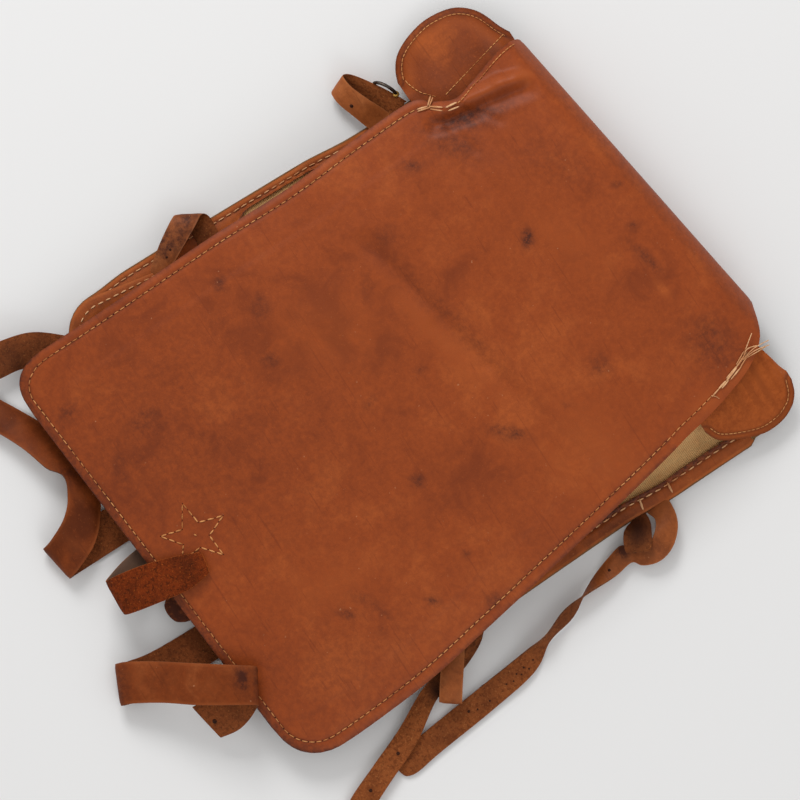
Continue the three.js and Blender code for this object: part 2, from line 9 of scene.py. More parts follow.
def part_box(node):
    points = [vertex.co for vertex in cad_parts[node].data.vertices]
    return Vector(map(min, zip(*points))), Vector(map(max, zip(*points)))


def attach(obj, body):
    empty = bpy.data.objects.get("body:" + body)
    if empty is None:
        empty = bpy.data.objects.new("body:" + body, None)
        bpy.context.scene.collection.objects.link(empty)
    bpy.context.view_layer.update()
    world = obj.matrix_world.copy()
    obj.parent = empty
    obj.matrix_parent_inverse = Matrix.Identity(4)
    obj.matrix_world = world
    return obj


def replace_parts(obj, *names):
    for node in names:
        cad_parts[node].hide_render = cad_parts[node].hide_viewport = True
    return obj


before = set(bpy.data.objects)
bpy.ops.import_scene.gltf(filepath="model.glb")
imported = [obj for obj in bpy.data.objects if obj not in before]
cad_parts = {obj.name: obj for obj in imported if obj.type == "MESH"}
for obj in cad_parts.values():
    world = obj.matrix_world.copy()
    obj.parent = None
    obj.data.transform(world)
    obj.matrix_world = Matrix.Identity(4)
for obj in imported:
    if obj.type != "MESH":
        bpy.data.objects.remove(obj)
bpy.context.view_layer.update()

# Studio: a pale floor, a pale sky and soft lamps, seen by a long lens from straight above.
# The pack's own plan is in millimetres, x to its right and y to its head end, and the back
# panel's box says where that plan lies.
MM = 0.001
PANEL_BOTTOM = -197
panel_low, panel_high = (Vector(corner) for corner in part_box("back_panel"))
PLAN_ORIGIN = Vector(((panel_low.x + panel_high.x) / 2, panel_low.y - PANEL_BOTTOM * MM, 0))


def spot(x, y, z):
    return PLAN_ORIGIN + Vector((x, y, z)) * MM


def tint(red, green, blue):
    """A screen colour as the shader's linear one."""
    parts = []
    for part in (red, green, blue):
        share = part / 255
        parts.append(share / 12.92 if share <= 0.04045 else ((share + 0.055) / 1.055) ** 2.4)
    return (*parts, 1.0)


scene = bpy.context.scene
scene.view_settings.view_transform = "Standard"

CAMERA_HEIGHT = 6000
SENSOR_WIDTH = 36
VIEW_POINT = (6.9, -22.7)
VIEW_TURN = 57
VIEW_WIDTH = 560
MEAN_HEIGHT = 20
lens = bpy.data.cameras.new("long lens")
lens.sensor_width = SENSOR_WIDTH
lens.lens = SENSOR_WIDTH * (CAMERA_HEIGHT - MEAN_HEIGHT) / VIEW_WIDTH
camera = bpy.data.objects.new("camera", lens)
camera.location = spot(*VIEW_POINT, CAMERA_HEIGHT)
camera.rotation_euler = (0, 0, math.radians(VIEW_TURN))
scene.collection.objects.link(camera)
scene.camera = camera

SKY_COLOUR = (1.0, 0.99, 0.98, 1)
SKY_STRENGTH = 0.64
sky = bpy.data.worlds.new("studio sky")
sky.use_nodes = True
sky_light = sky.node_tree.nodes["Background"].inputs
sky_light["Color"].default_value = SKY_COLOUR
sky_light["Strength"].default_value = SKY_STRENGTH
scene.world = sky

# Lamps: name, place, size and watts
LAMPS = (
    ("key lamp", (-2350, 700, 2000), 1300, 50.0),
    ("side lamp", (2300, -500, 2000), 1500, 12.0),
)
for lamp_name, place, size, watts in LAMPS:
    lamp = bpy.data.lights.new(lamp_name, "AREA")
    lamp.size = size * MM
    lamp.energy = watts
    lamp_object = bpy.data.objects.new(lamp_name, lamp)
    lamp_object.location = spot(*place)
    aim = spot(*VIEW_POINT, 0) - lamp_object.location
    lamp_object.rotation_euler = aim.to_track_quat("-Z", "Y").to_euler()
    scene.collection.objects.link(lamp_object)


def shader_of(name):
    material = bpy.data.materials.new(name)
    material.use_nodes = True
    return material, material.node_tree.nodes["Principled BSDF"]


FLOOR_SIZE = 12000
FLOOR_DROP = 0.4
FLOOR_COLOUR = (230, 230, 230)
FLOOR_ROUGHNESS = 0.9
floor_mesh = bmesh.new()
bmesh.ops.create_grid(floor_mesh, x_segments=1, y_segments=1, size=FLOOR_SIZE * MM / 2)
floor_data = bpy.data.meshes.new("floor")
floor_mesh.to_mesh(floor_data)
floor_mesh.free()
floor = bpy.data.objects.new("floor", floor_data)
floor.location.z = -FLOOR_DROP * MM
scene.collection.objects.link(floor)
floor_paper, floor_shader = shader_of("floor paper")
floor_shader.inputs["Base Color"].default_value = tint(*FLOOR_COLOUR)
floor_shader.inputs["Roughness"].default_value = FLOOR_ROUGHNESS
floor_data.materials.append(floor_paper)


# Back panel: one sheet of strong cotton canvas with rounded lower corners.
# The shoulder straps lie under it, so it rises over them and sags to the floor at its sides.
CANVAS = 1.6
PANEL_TOP = 172
HALF_WIDTH_LOW = 173
HALF_WIDTH_HIGH = 165
CORNER = 30
RACK = 0.13
RACK_END = 190
BACK_RISE = 2.7
RISE_FULL = 98
RISE_NONE = 152
# The side edges are slack: how far each stands out, and where along y that comes and goes
LEFT_SLACK = (2.2, (-165, -135), (10, 54))
RIGHT_SLACK = (3.4, (54, 94), (150.5, 155))


def lerp(a, b, t):
    return a + (b - a) * t


def clamp(value, low, high):
    return min(max(value, low), high)


def smoothstep(value, low, high):
    t = clamp((value - low) / (high - low), 0, 1)
    return t * t * (3 - 2 * t)


def fading(value, low, high):
    return 1 - smoothstep(value, low, high)


def back_height(x):
    return BACK_RISE * fading(abs(x), RISE_FULL, RISE_NONE)


def stretch_share(y, ends):
    """One along a stretch of the side, fading out over its two ends."""
    return smoothstep(y, *ends[0]) * fading(y, *ends[1])


def half_width(side, y):
    """How far the panel reaches to one side."""
    slack, *ends = LEFT_SLACK if side < 0 else RIGHT_SLACK
    width = lerp(HALF_WIDTH_LOW, HALF_WIDTH_HIGH, smoothstep(y, PANEL_BOTTOM, PANEL_TOP))
    return width + slack * stretch_share(y, ends)


def racked(x, y):
    """The panel is pulled askew towards its head."""
    return y + RACK * x * clamp(y / RACK_END, 0, 1)


def corner_inset(rise, radius):
    if rise >= radius:
        return 0
    return radius - math.sqrt(radius * radius - (radius - rise) ** 2)


def steps(start, end, count):
    return [lerp(start, end, k / count) for k in range(count + 1)]


def feed(node, slot, value):
    """Links a socket to a node's input, or sets the input to a plain value."""
    if isinstance(value, bpy.types.NodeSocket):
        node.id_data.links.new(value, node.inputs[slot])
    else:
        node.inputs[slot].default_value = value


def add_node(tree, kind, inputs=(), **settings):
    node = tree.nodes.new(kind)
    for name, value in settings.items():
        setattr(node, name, value)
    for slot, value in dict(inputs).items():
        feed(node, slot, value)
    return node


def math_node(operation, *values):
    tree = next(value.id_data for value in values if isinstance(value, bpy.types.NodeSocket))
    return add_node(tree, "ShaderNodeMath", enumerate(values), operation=operation).outputs[0]


def share_of(*parts):
    product = parts[0]
    for part in parts[1:]:
        product = math_node("MULTIPLY", product, part)
    return product


def noise_node(where, scale, detail=3.0, rough=0.5, warp=0.0):
    inputs = {"Vector": where, "Scale": scale, "Detail": detail, "Roughness": rough, "Distortion": warp}
    return add_node(where.id_data, "ShaderNodeTexNoise", inputs).outputs["Fac"]


def between(value, low, high):
    inputs = {"Value": value, "From Min": low, "From Max": high}
    node = add_node(value.id_data, "ShaderNodeMapRange", inputs, interpolation_type="SMOOTHSTEP")
    return node.outputs["Result"]


def blended(share, a, b):
    """Two colours mixed. A Mix node has its factor at 0, its colours at 6 and 7 and their mix at 2."""
    return add_node(share.id_data, "ShaderNodeMix", {0: share, 6: a, 7: b}, data_type="RGBA").outputs[2]


def layered(colour, layers):
    """Colours laid over a first one, each with the share that it covers."""
    for share, over in layers:
        colour = blended(share, colour, over)
    return colour


def painted(tree, name):
    """A mark that is kept on the mesh's points."""
    return add_node(tree, "ShaderNodeAttribute", attribute_name=name).outputs["Fac"]


def new_group(name, colours, values=()):
    """An empty node group for a finish, with what goes into it and its output node."""
    tree = bpy.data.node_groups.new(name, "ShaderNodeTree")
    sockets = [(socket, "INPUT", "Color") for socket in colours]
    sockets += [(socket, "INPUT", "Float") for socket in values]
    sockets.append(("Colour", "OUTPUT", "Color"))
    sockets += [(socket, "OUTPUT", "Float") for socket in ("Roughness", "Height")]
    for socket, way, kind in sockets:
        tree.interface.new_socket(socket, in_out=way, socket_type=f"NodeSocket{kind}")
    return tree, tree.nodes.new("NodeGroupInput").outputs, tree.nodes.new("NodeGroupOutput")


def put_out(result, colour, rough_mask, rough_range, height):
    """Ends a group: roughness runs over its range with a mask."""
    low, high = rough_range
    feed(result, "Colour", colour)
    feed(result, "Roughness", math_node("MULTIPLY_ADD", rough_mask, high - low, low))
    feed(result, "Height", height)


SHEEN = 0.2


def finish_of(name, group, looks, bump, depth, sheen=SHEEN):
    """A material from a group: looks are its colours and values in the order of the group's inputs."""
    material, shader = shader_of(name)
    tree = material.node_tree
    node = add_node(tree, "ShaderNodeGroup", node_tree=group)
    for slot, look in enumerate(looks):
        feed(node, slot, tint(*look) if isinstance(look, tuple) else look)
    relief = {"Height": node.outputs["Height"], "Strength": bump, "Distance": depth * MM}
    feed(shader, "Base Color", node.outputs["Colour"])
    feed(shader, "Roughness", node.outputs["Roughness"])
    feed(shader, "Normal", add_node(tree, "ShaderNodeBump", relief).outputs["Normal"])
    feed(shader, "Specular IOR Level", sheen)
    return material


YARN_SCALE = 260
weave_tree, weave_in, weave_out = new_group("canvas weave", ("Yarn", "Soil"))
weave_map = add_node(weave_tree, "ShaderNodeUVMap", uv_map="cut").outputs["UV"]
weave_yarns = []
for direction in ("X", "Y"):
    yarn_wave = {"Vector": weave_map, "Scale": YARN_SCALE, "Distortion": 0.6, "Detail": 1.0}
    yarn = add_node(weave_tree, "ShaderNodeTexWave", yarn_wave, bands_direction=direction)
    weave_yarns.append(yarn.outputs["Fac"])
weave_shade = math_node("SUBTRACT", 1.0, between(share_of(*weave_yarns), 0.0, 0.4))
weave_soil = between(noise_node(weave_map, 22, 5, 0.6), 0.42, 0.7)
weave_slub = between(noise_node(weave_map, 240, 2), 0.3, 0.75)
weave_layers = (
    (weave_soil, weave_in["Soil"]),
    (share_of(weave_shade, 0.45), tint(62, 48, 28)),
    (share_of(weave_slub, 0.3), tint(176, 152, 104)),
    (painted(weave_tree, "stain_and_shade"), tint(96, 54, 28)),
)
weave_colour = layered(weave_in["Yarn"], weave_layers)
weave_height = math_node("MAXIMUM", *weave_yarns)
put_out(weave_out, weave_colour, noise_node(weave_map, 60, 2), (0.82, 0.97), weave_height)
canvas_finish = finish_of("khaki canvas", weave_tree, ((230, 178, 118), (200, 144, 90)), 0.5, 0.5)


def new_piece(name, mesh, finishes):
    """Turns a bmesh into a piece that rides on the pack's one body."""
    for face in mesh.faces:
        face.smooth = True
    data = bpy.data.meshes.new(name)
    mesh.to_mesh(data)
    mesh.free()
    for finish in finishes:
        data.materials.append(finish)
    piece = bpy.data.objects.new(name, data)
    scene.collection.objects.link(piece)
    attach(piece, "root")
    return piece


SOFT_EDGE = 0.5
EDGE_ANGLE = 50


def laid_piece(name, node, counts, place, thickness, finishes, cut, marks=None, edge=SOFT_EDGE):
    """A sheet from a grid: place(i, j) gives each point in plan millimetres, and marks(i, j) its dark
    mark, stains together with painted shade, and its pale rub. The wall is made by Solidify, with finishes
    for its upper, under and cut faces."""
    across, along = counts
    mesh = bmesh.new()
    uv = mesh.loops.layers.uv.new("cut")
    stain_and_shade = mesh.verts.layers.float.new("stain_and_shade")
    rub = mesh.verts.layers.float.new("rub")
    bmesh.ops.create_grid(mesh, x_segments=across, y_segments=along, size=0.5, calc_uvs=True)
    for loop in (loop for face in mesh.faces for loop in face.loops):
        loop[uv].uv = (loop[uv].uv[0] * cut[0] * MM, loop[uv].uv[1] * cut[1] * MM)
    for vert in mesh.verts:
        i = round((vert.co.x + 0.5) * across)
        j = round((vert.co.y + 0.5) * along)
        vert.co = spot(*place(i, j))
        if marks:
            vert[stain_and_shade], vert[rub] = marks(i, j)
    piece = new_piece(name, mesh, finishes)
    wall = piece.modifiers.new("wall", "SOLIDIFY")
    wall.thickness = thickness * MM
    wall.offset = 0
    wall.use_even_offset = True
    wall.thickness_clamp = 1.0
    wall.material_offset = min(1, len(finishes) - 1)
    wall.material_offset_rim = min(2, len(finishes) - 1)
    softened = piece.modifiers.new("edges", "BEVEL")
    softened.width = edge * MM
    softened.segments = 2
    softened.limit_method = "ANGLE"
    softened.angle_limit = math.radians(EDGE_ANGLE)
    piece.modifiers.new("shading", "WEIGHTED_NORMAL")
    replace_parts(piece, node)
    return piece


CORNER_RISES = [0, 1, 3, 6, 10, 15, 20, 25]
PANEL_ROWS = [PANEL_BOTTOM + rise for rise in CORNER_RISES] + steps(PANEL_BOTTOM + CORNER, PANEL_TOP, 60)
PANEL_COLUMNS = 72
PANEL_SHARES = steps(-1, 1, PANEL_COLUMNS)
PANEL_CUT = (346, 391)
EDGE_GRIME = 0.85


def panel_point(i, j):
    y = PANEL_ROWS[j]
    share = PANEL_SHARES[i]
    x = share * (half_width(share, y) - corner_inset(y - PANEL_BOTTOM, CORNER))
    return x, racked(x, y), back_height(x) + CANVAS / 2


def panel_marks(i, j):
    at_edge = min(i, PANEL_COLUMNS - i, j) < 1
    return EDGE_GRIME if at_edge else 0, 0


back_canvas = laid_piece(
    "back_canvas", "back_panel", (PANEL_COLUMNS, len(PANEL_ROWS) - 1),
    panel_point, CANVAS, [canvas_finish], PANEL_CUT, panel_marks,
)


# Canvas bag: a slack front of the same canvas with a flange sewn round the panel's edge.
# Its walls are steep at the sides and the bottom, and the head end is its open mouth.
FLANGE_LEVEL = 2.7
FLANGE_INSET = 3
FLANGE_WIDTH = 17
WALL_RUN = 18
BAG_CROWN = 8
MOUTH = 150
BAG_BOTTOM = PANEL_BOTTOM + FLANGE_INSET
BAG_CORNER = CORNER - FLANGE_INSET
BAG_HEIGHTS = ((20,), (24,), (31,), (32,), (30,), (24,))
BAG_DEPTH_STEP = 77
BAG_WAVE = (0.9, 34, 2.5)
BAG_COLUMNS = 90
BAG_CROWDING = 0.35
BAG_CUT = (384, 372)
BAG_ROWS = [BAG_BOTTOM + rise for rise in CORNER_RISES] + steps(BAG_BOTTOM + BAG_CORNER, MOUTH, 70)
BAG_SHARES = [
    math.sin(math.pi / 2 * share) * BAG_CROWDING + share * (1 - BAG_CROWDING)
    for share in steps(-1, 1, BAG_COLUMNS)
]


def along_table(rows, place):
    """Smooth values between the rows of a table, for all its columns."""
    last = len(rows) - 1
    step = min(int(place), last - 1)
    t = place - step
    values = []
    for before, start, end, after in zip(*(rows[clamp(step + k, 0, last)] for k in (-1, 0, 1, 2))):
        leave = (end - before) / 2
        arrive = (after - start) / 2
        spread = end - start
        bend = 3 * spread - 2 * leave - arrive
        twist = leave + arrive - 2 * spread
        values.append(start + t * (leave + t * (bend + t * twist)))
    return values


def ripple(x, y, wave):
    """A gentle unevenness. A wave is its height, its size and a seed."""
    height, size, seed = wave
    return height * noise.noise(Vector((x / size, y / size, seed)))


def bag_point(i, j):
    y = BAG_ROWS[j]
    share = BAG_SHARES[i]
    half = half_width(share, y) - FLANGE_INSET - corner_inset(y - BAG_BOTTOM, BAG_CORNER)
    x = share * half
    side_wall = smoothstep(half - abs(x), FLANGE_WIDTH, FLANGE_WIDTH + WALL_RUN)
    end_wall = smoothstep(y - BAG_BOTTOM, FLANGE_WIDTH, FLANGE_WIDTH + WALL_RUN)
    up = side_wall * end_wall
    place = clamp((y - PANEL_BOTTOM) / BAG_DEPTH_STEP, 0, len(BAG_HEIGHTS) - 1)
    front = along_table(BAG_HEIGHTS, place)[0] + BAG_CROWN * (1 - share * share)
    z = lerp(back_height(x) + FLANGE_LEVEL, front, up)
    return x, racked(x, y), z + up * ripple(x, y, BAG_WAVE)


bag_canvas = laid_piece(
    "bag_canvas", "canvas_body", (BAG_COLUMNS, len(BAG_ROWS) - 1),
    bag_point, CANVAS, [canvas_finish], BAG_CUT,
)


# Side bindings: a strip of bridle leather along each long side, lying on the flange.
# It is stitched through the flange and the panel, and the right one has two mended cross stitches.
LEATHER = 2.2
STRIP_LEVEL = 4.9
EDGE_SETBACK = 1


def object_place(tree):
    return add_node(tree, "ShaderNodeTexCoord").outputs["Object"]


def scratch_lines(place, turn, scale, low, high):
    """Long thin marks in one direction, as a mask."""
    turned = {"Vector": place, "Rotation": (0, 0, math.radians(turn)), "Scale": scale}
    lines = add_node(place.id_data, "ShaderNodeMapping", turned).outputs["Vector"]
    return between(noise_node(lines, 1.0, 2), low, high)


hide_tree, hide_in, hide_out = new_group("hide grain", ("Main", "Deep", "Pale"), ("Mottle",))
hide_place = object_place(hide_tree)
hide_fine = noise_node(hide_place, 230, 6, 0.76)
hide_break = between(hide_fine, 0.3, 0.68)
hide_clouds = noise_node(hide_place, 10, 4, 0.55)
hide_blotch = noise_node(hide_place, 36, 6, 0.62, 0.5)
hide_tone = math_node("ADD", share_of(hide_clouds, 0.5), share_of(hide_blotch, 0.5))
hide_marks = math_node(
    "MAXIMUM",
    scratch_lines(hide_place, 25, (16, 420, 16), 0.66, 0.74),
    scratch_lines(hide_place, 118, (48, 560, 48), 0.67, 0.75),
)
hide_dark = math_node("SUBTRACT", 1.0, between(hide_tone, 0.35, 0.5))
hide_light = between(hide_tone, 0.5, 0.65)
hide_dots = between(noise_node(hide_place, 700, 2), 0.62, 0.74)
hide_flecks = between(noise_node(hide_place, 330, 2), 0.74, 0.8)
hide_worn = share_of(painted(hide_tree, "rub"), math_node("ADD", hide_break, 0.35), 0.75)
hide_stain_and_shade = share_of(painted(hide_tree, "stain_and_shade"), math_node("ADD", hide_break, 0.5))
hide_layers = (
    (share_of(hide_dark, hide_in["Mottle"]), hide_in["Deep"]),
    (share_of(hide_light, hide_in["Mottle"], 0.8), hide_in["Pale"]),
    (share_of(hide_break, 0.42), hide_in["Deep"]),
    (share_of(hide_marks, 0.4), hide_in["Deep"]),
    (share_of(hide_dots, 0.25), hide_in["Pale"]),
    (hide_worn, hide_in["Pale"]),
    # The dark mark holds stains and painted shade
    (math_node("MINIMUM", hide_stain_and_shade, 0.88), tint(58, 26, 18)),
    (share_of(hide_flecks, 0.4), tint(196, 140, 100)),
)
hide_pores = add_node(hide_tree, "ShaderNodeTexVoronoi", {"Vector": hide_place, "Scale": 820})
hide_relief = math_node("ADD", share_of(hide_pores.outputs["Distance"], 0.35), share_of(hide_fine, 0.65))
hide_relief = math_node("SUBTRACT", hide_relief, share_of(hide_marks, 0.25))
put_out(hide_out, layered(hide_in["Main"], hide_layers), hide_tone, (0.36, 0.61), hide_relief)

flesh_tree, flesh_in, flesh_out = new_group("flesh side", ("Main", "Deep", "Fibre"))
flesh_place = object_place(flesh_tree)
flesh_tufts = noise_node(flesh_place, 420, 5, 0.65, 0.6)
flesh_hairs = noise_node(flesh_place, 900, 3, 0.6)
flesh_low = math_node("SUBTRACT", 1.0, between(flesh_tufts, 0.34, 0.56))
flesh_grime = between(noise_node(flesh_place, 55, 4, 0.6), 0.45, 0.7)
flesh_layers = (
    (share_of(flesh_low, 0.85), flesh_in["Deep"]),
    (share_of(flesh_grime, 0.6), flesh_in["Deep"]),
    (share_of(between(flesh_hairs, 0.55, 0.75), 0.6), flesh_in["Fibre"]),
    # The dark mark holds stains and painted shade
    (share_of(painted(flesh_tree, "stain_and_shade"), 0.85), tint(50, 24, 14)),
)
flesh_colour = layered(flesh_in["Main"], flesh_layers)
put_out(flesh_out, flesh_colour, flesh_hairs, (0.8, 0.95), math_node("ADD", flesh_tufts, flesh_hairs))

# A hide's looks are its main, deep and pale colours and its mottling.
# A flesh side's looks are its main, deep and fibre colours.
BINDING_LOOK = ((164, 80, 31), (104, 46, 15), (206, 116, 56), 0.95)
FLESH_LOOK = ((122, 66, 34), (70, 34, 16), (168, 108, 62))
CUT_LOOK = ((96, 50, 26), (58, 28, 14), (132, 80, 46))
flesh_finish = finish_of("leather flesh side", flesh_tree, FLESH_LOOK, 0.6, 0.6)
cut_finish = finish_of("leather cut edge", flesh_tree, CUT_LOOK, 0.5, 0.4)
BINDING_FINISHES = [
    finish_of("binding leather", hide_tree, BINDING_LOOK, 0.35, 0.35), flesh_finish, cut_finish,
]

STRIP_ROWS = 94
STRIP_SHARES = [
    0, 0.05, 0.1, 0.16, 0.22, 0.28, 0.34, 0.42, 0.5, 0.58, 0.66, 0.72, 0.78, 0.84, 0.9, 0.95, 1,
]
# Binding strips: piece, node, side, width, ends, inset of the stitches and their pitch, length, thickness
STRIPS = (
    ("left_binding", "edge_strip_left", -1, 18, -164, 118, 3.8, 6.2, 5.0, 0.9),
    ("right_binding", "edge_strip_right", 1, 13, -164, 152.5, 9.6, 7.0, 5.0, 1.3),
)
WELT = 1.6
WELT_RISE = 0.5
# A painted shadow line along the welt's inner edge, where it stands over the canvas
WELT_SHADOW = 0.65
WELT_SHADOW_RUN = 1.2
STRIP_WAVE = (0.5, 19, 7.7)
STRIP_GRIME = (0.25, 30, 3.1)
EDGE_WAVE = (0.5, 16)
EDGE_WAVE_LANE = 40
# Along the slack stretch the left strip is drawn in, and the canvas beside it shows
DRAWN_ENDS = ((-62, -38), (12, 38))
DRAWN_FROM = 5
DRAWN_SHARE = 0.85
STITCH_DIP = 0.35
STITCH_DIP_WIDTH = 1.2
STITCH_GRIME = 0.5
EDGE_RUB = 0.5
FACE_RUB = 0.1
RUBBED_EDGE = 2
THREAD_LIFT = 0.25
UP = Vector((0, 0, 1))

sewing_draw = random.Random(11)
SEWING_SWAY = 4.0
STITCH_SIZES = (0.85, 1.1)
THREAD_BALL = {"u_segments": 6, "v_segments": 4, "radius": MM}
THREAD_FLAT = 0.4
HOLE_SIZE = 0.42
HOLE_SINK = 0.2


def bell(value, middle, width):
    return math.exp(-(((value - middle) / width) ** 2))


def sew(mesh, path, pitch, long, thick, sway=SEWING_SWAY, holes=None):
    """Stitches in a row along a path of points and normals, each a short thread lying on the leather.
    The needle holes between them are dark dots of another mesh, painted shade for the inside of each hole."""
    gone = 0
    wait = pitch / 2
    for (start, up), (end, _) in zip(path, path[1:]):
        run = (end - start).length
        while run > 0 and gone + run >= wait:
            middle = start.lerp(end, (wait - gone) / run)
            heading = (end - start).normalized()
            heading.rotate(Matrix.Rotation(math.radians(sewing_draw.uniform(-sway, sway)), 3, up))
            side = up.cross(heading).normalized()
            face = heading.cross(side)
            size = sewing_draw.uniform(*STITCH_SIZES)
            turn = Matrix((side, face, heading)).transposed().to_4x4()
            shape = Matrix.Diagonal((thick / 2, thick * THREAD_FLAT, long * size / 2, 1))
            move = Matrix.Translation(spot(*middle))
            bmesh.ops.create_uvsphere(mesh, **THREAD_BALL, matrix=move @ turn @ shape)
            if holes:
                sunk = Matrix.Translation(spot(*(middle + heading * (pitch / 2) - face * HOLE_SINK)))
                dot = Matrix.Diagonal((HOLE_SIZE, HOLE_SIZE / 2, HOLE_SIZE, 1))
                bmesh.ops.create_uvsphere(holes, **THREAD_BALL, matrix=sunk @ turn @ dot)
            wait += pitch
        gone += run


thread_tree, thread_in, thread_out = new_group("thread twist", ("Main", "Soil"))
thread_place = object_place(thread_tree)
thread_soil = between(noise_node(thread_place, 70, 4, 0.65), 0.4, 0.66)
thread_twist = noise_node(thread_place, 1800, 2)
thread_shade = share_of(between(thread_twist, 0.4, 0.6), 0.25)
thread_layers = ((thread_soil, thread_in["Soil"]), (thread_shade, tint(110, 70, 36)))
thread_colour = layered(thread_in["Main"], thread_layers)
put_out(thread_out, thread_colour, thread_twist, (0.6, 0.8), thread_twist)
gold_thread = finish_of("waxed gold thread", thread_tree, ((218, 152, 92), (170, 102, 52)), 0.3, 0.2)
pale_thread = finish_of("pale linen thread", thread_tree, ((232, 182, 134), (198, 136, 90)), 0.3, 0.2)

border_sewing = bmesh.new()
for strip_name, strip_node, side, strip_width, low_end, high_end, stitch_inset, *stitch in STRIPS:
    insets = sorted([share * strip_width for share in STRIP_SHARES], reverse=side > 0)
    ys = steps(low_end, high_end, STRIP_ROWS)
    welt_start = strip_width - WELT

    def strip_level(inset, y):
        dip = STITCH_DIP * bell(inset, stitch_inset, STITCH_DIP_WIDTH)
        welt = WELT_RISE * smoothstep(inset, welt_start - 1, welt_start)
        return STRIP_LEVEL - dip + welt + ripple(side * inset, y, STRIP_WAVE)

    def strip_point(i, j):
        y = ys[j]
        worn = ripple(side * EDGE_WAVE_LANE, y, (*EDGE_WAVE, insets[i]))
        edge_share = abs(2 * insets[i] / strip_width - 1)
        drawn = DRAWN_SHARE * stretch_share(y, DRAWN_ENDS) if side < 0 else 0
        inset = insets[i] - drawn * max(0, insets[i] - DRAWN_FROM)
        x = side * (half_width(side, y) - EDGE_SETBACK - inset + worn * edge_share)
        return x, racked(x, y), strip_level(insets[i], y)

    def strip_marks(i, j):
        dark = STITCH_GRIME * bell(insets[i], stitch_inset, STITCH_DIP_WIDTH)
        # Painted shadow line along the welt's inner edge
        dark = max(dark, WELT_SHADOW * smoothstep(insets[i], welt_start - WELT_SHADOW_RUN, welt_start))
        dark += max(0, ripple(side, ys[j], STRIP_GRIME))
        return dark, EDGE_RUB if insets[i] < RUBBED_EDGE else FACE_RUB

    laid_piece(
        strip_name, strip_node, (len(insets) - 1, STRIP_ROWS),
        strip_point, LEATHER, BINDING_FINISHES, (strip_width, high_end - low_end), strip_marks,
    )
    seam = []
    for y in ys[1:-1]:
        x = side * (half_width(side, y) - EDGE_SETBACK - stitch_inset)
        z = strip_level(stitch_inset, y) + LEATHER / 2 + THREAD_LIFT
        seam.append((Vector((x, racked(x, y), z)), UP))
    sew(border_sewing, seam, *stitch)

CROSS_STITCHES = (((156.7, 103.2, 6.6), (166, 102.2, 6.4)), ((156.2, 80.4, 6.6), (164.9, 78.3, 6.4)))
CROSS_THREAD = 1.9
for start, end in CROSS_STITCHES:
    long = (Vector(end) - Vector(start)).length
    sew(border_sewing, [(Vector(start), UP), (Vector(end), UP)], long, long, CROSS_THREAD, 0)


# Bottom binding: the same leather in one band round the bottom, up both sides to tapered ends.
# It lies over the ends of the side bindings and is stitched near its inner edge.
QUARTER = math.pi / 2
BAND_WIDTH = 22
BAND_LENGTH = 560
BAND_END = -118
BAND_TAPER = 10
BAND_LEVEL = 7.4
BAND_STITCH = 7
BAND_STITCHES = (6.0, 4.4, 1.2)
BAND_WAVE = (0.2, 21, 1.9)
# Stations of one half: up the side, round the corner and to the middle of the bottom
SIDE_STATIONS, CORNER_STATIONS, BOTTOM_STATIONS = 18, 16, 48
BAND_INSETS = [0, 1.2, 3, 5.5, 8, 10.5, 12.5, 14, 15, 16, 17.5, 19.5, 20.8, 22]


def band_path():
    """Stations round the bottom from right to left: a point, the way inwards and how far it tapers."""
    half = HALF_WIDTH_LOW - EDGE_SETBACK
    corner_y = PANEL_BOTTOM + CORNER
    path = []
    for t in steps(0, 1, SIDE_STATIONS)[:-1]:
        path.append((-half, lerp(BAND_END, corner_y, t), 1, 0, 1 - t))
    for turn in steps(0, QUARTER, CORNER_STATIONS)[:-1]:
        nx = math.cos(turn)
        ny = math.sin(turn)
        path.append((-half + CORNER * (1 - nx), corner_y - CORNER * ny, nx, ny, 0))
    for x in steps(-half + CORNER, 0, BOTTOM_STATIONS):
        path.append((x, PANEL_BOTTOM, 0, 1, 0))
    mirrored = [(-x, y, -nx, ny, taper) for x, y, nx, ny, taper in path[:-1]]
    return mirrored + path[::-1]


band_stations = band_path()


def band_spot(station, inset):
    x, y, nx, ny, taper = station
    edge = BAND_TAPER * taper
    reach = lerp(edge, BAND_WIDTH - edge / 2, inset / BAND_WIDTH)
    x += nx * reach
    y += ny * reach
    dip = STITCH_DIP * bell(inset, BAND_STITCH, STITCH_DIP_WIDTH)
    return x, y, back_height(x) + BAND_LEVEL - dip + ripple(x, y, BAND_WAVE)


def band_marks(i, j):
    inset = BAND_INSETS[i]
    dark = STITCH_GRIME * bell(inset, BAND_STITCH, STITCH_DIP_WIDTH)
    return dark, EDGE_RUB if inset < RUBBED_EDGE else FACE_RUB


laid_piece(
    "bottom_binding", "bottom_band", (len(BAND_INSETS) - 1, len(band_stations) - 1),
    lambda i, j: band_spot(band_stations[j], BAND_INSETS[i]), LEATHER, BINDING_FINISHES,
    (BAND_WIDTH, BAND_LENGTH), band_marks,
)
band_seam = []
for station in band_stations:
    x, y, z = band_spot(station, BAND_STITCH)
    band_seam.append((Vector((x, y, z + LEATHER / 2 + THREAD_LIFT)), UP))
sew(border_sewing, band_seam, *BAND_STITCHES)
new_piece("binding_stitches", border_sewing, [pale_thread])


# Flap: one large hide sewn to the panel's top edge, folded over the head end and the bag's front.
# Its hem is stitched along both sides and the bottom, years of use have creased and stained it, and painted
# shade darkens a crease, the right head corner and the hollow under the left ear's fold.
FLAP_LEATHER = 2.4
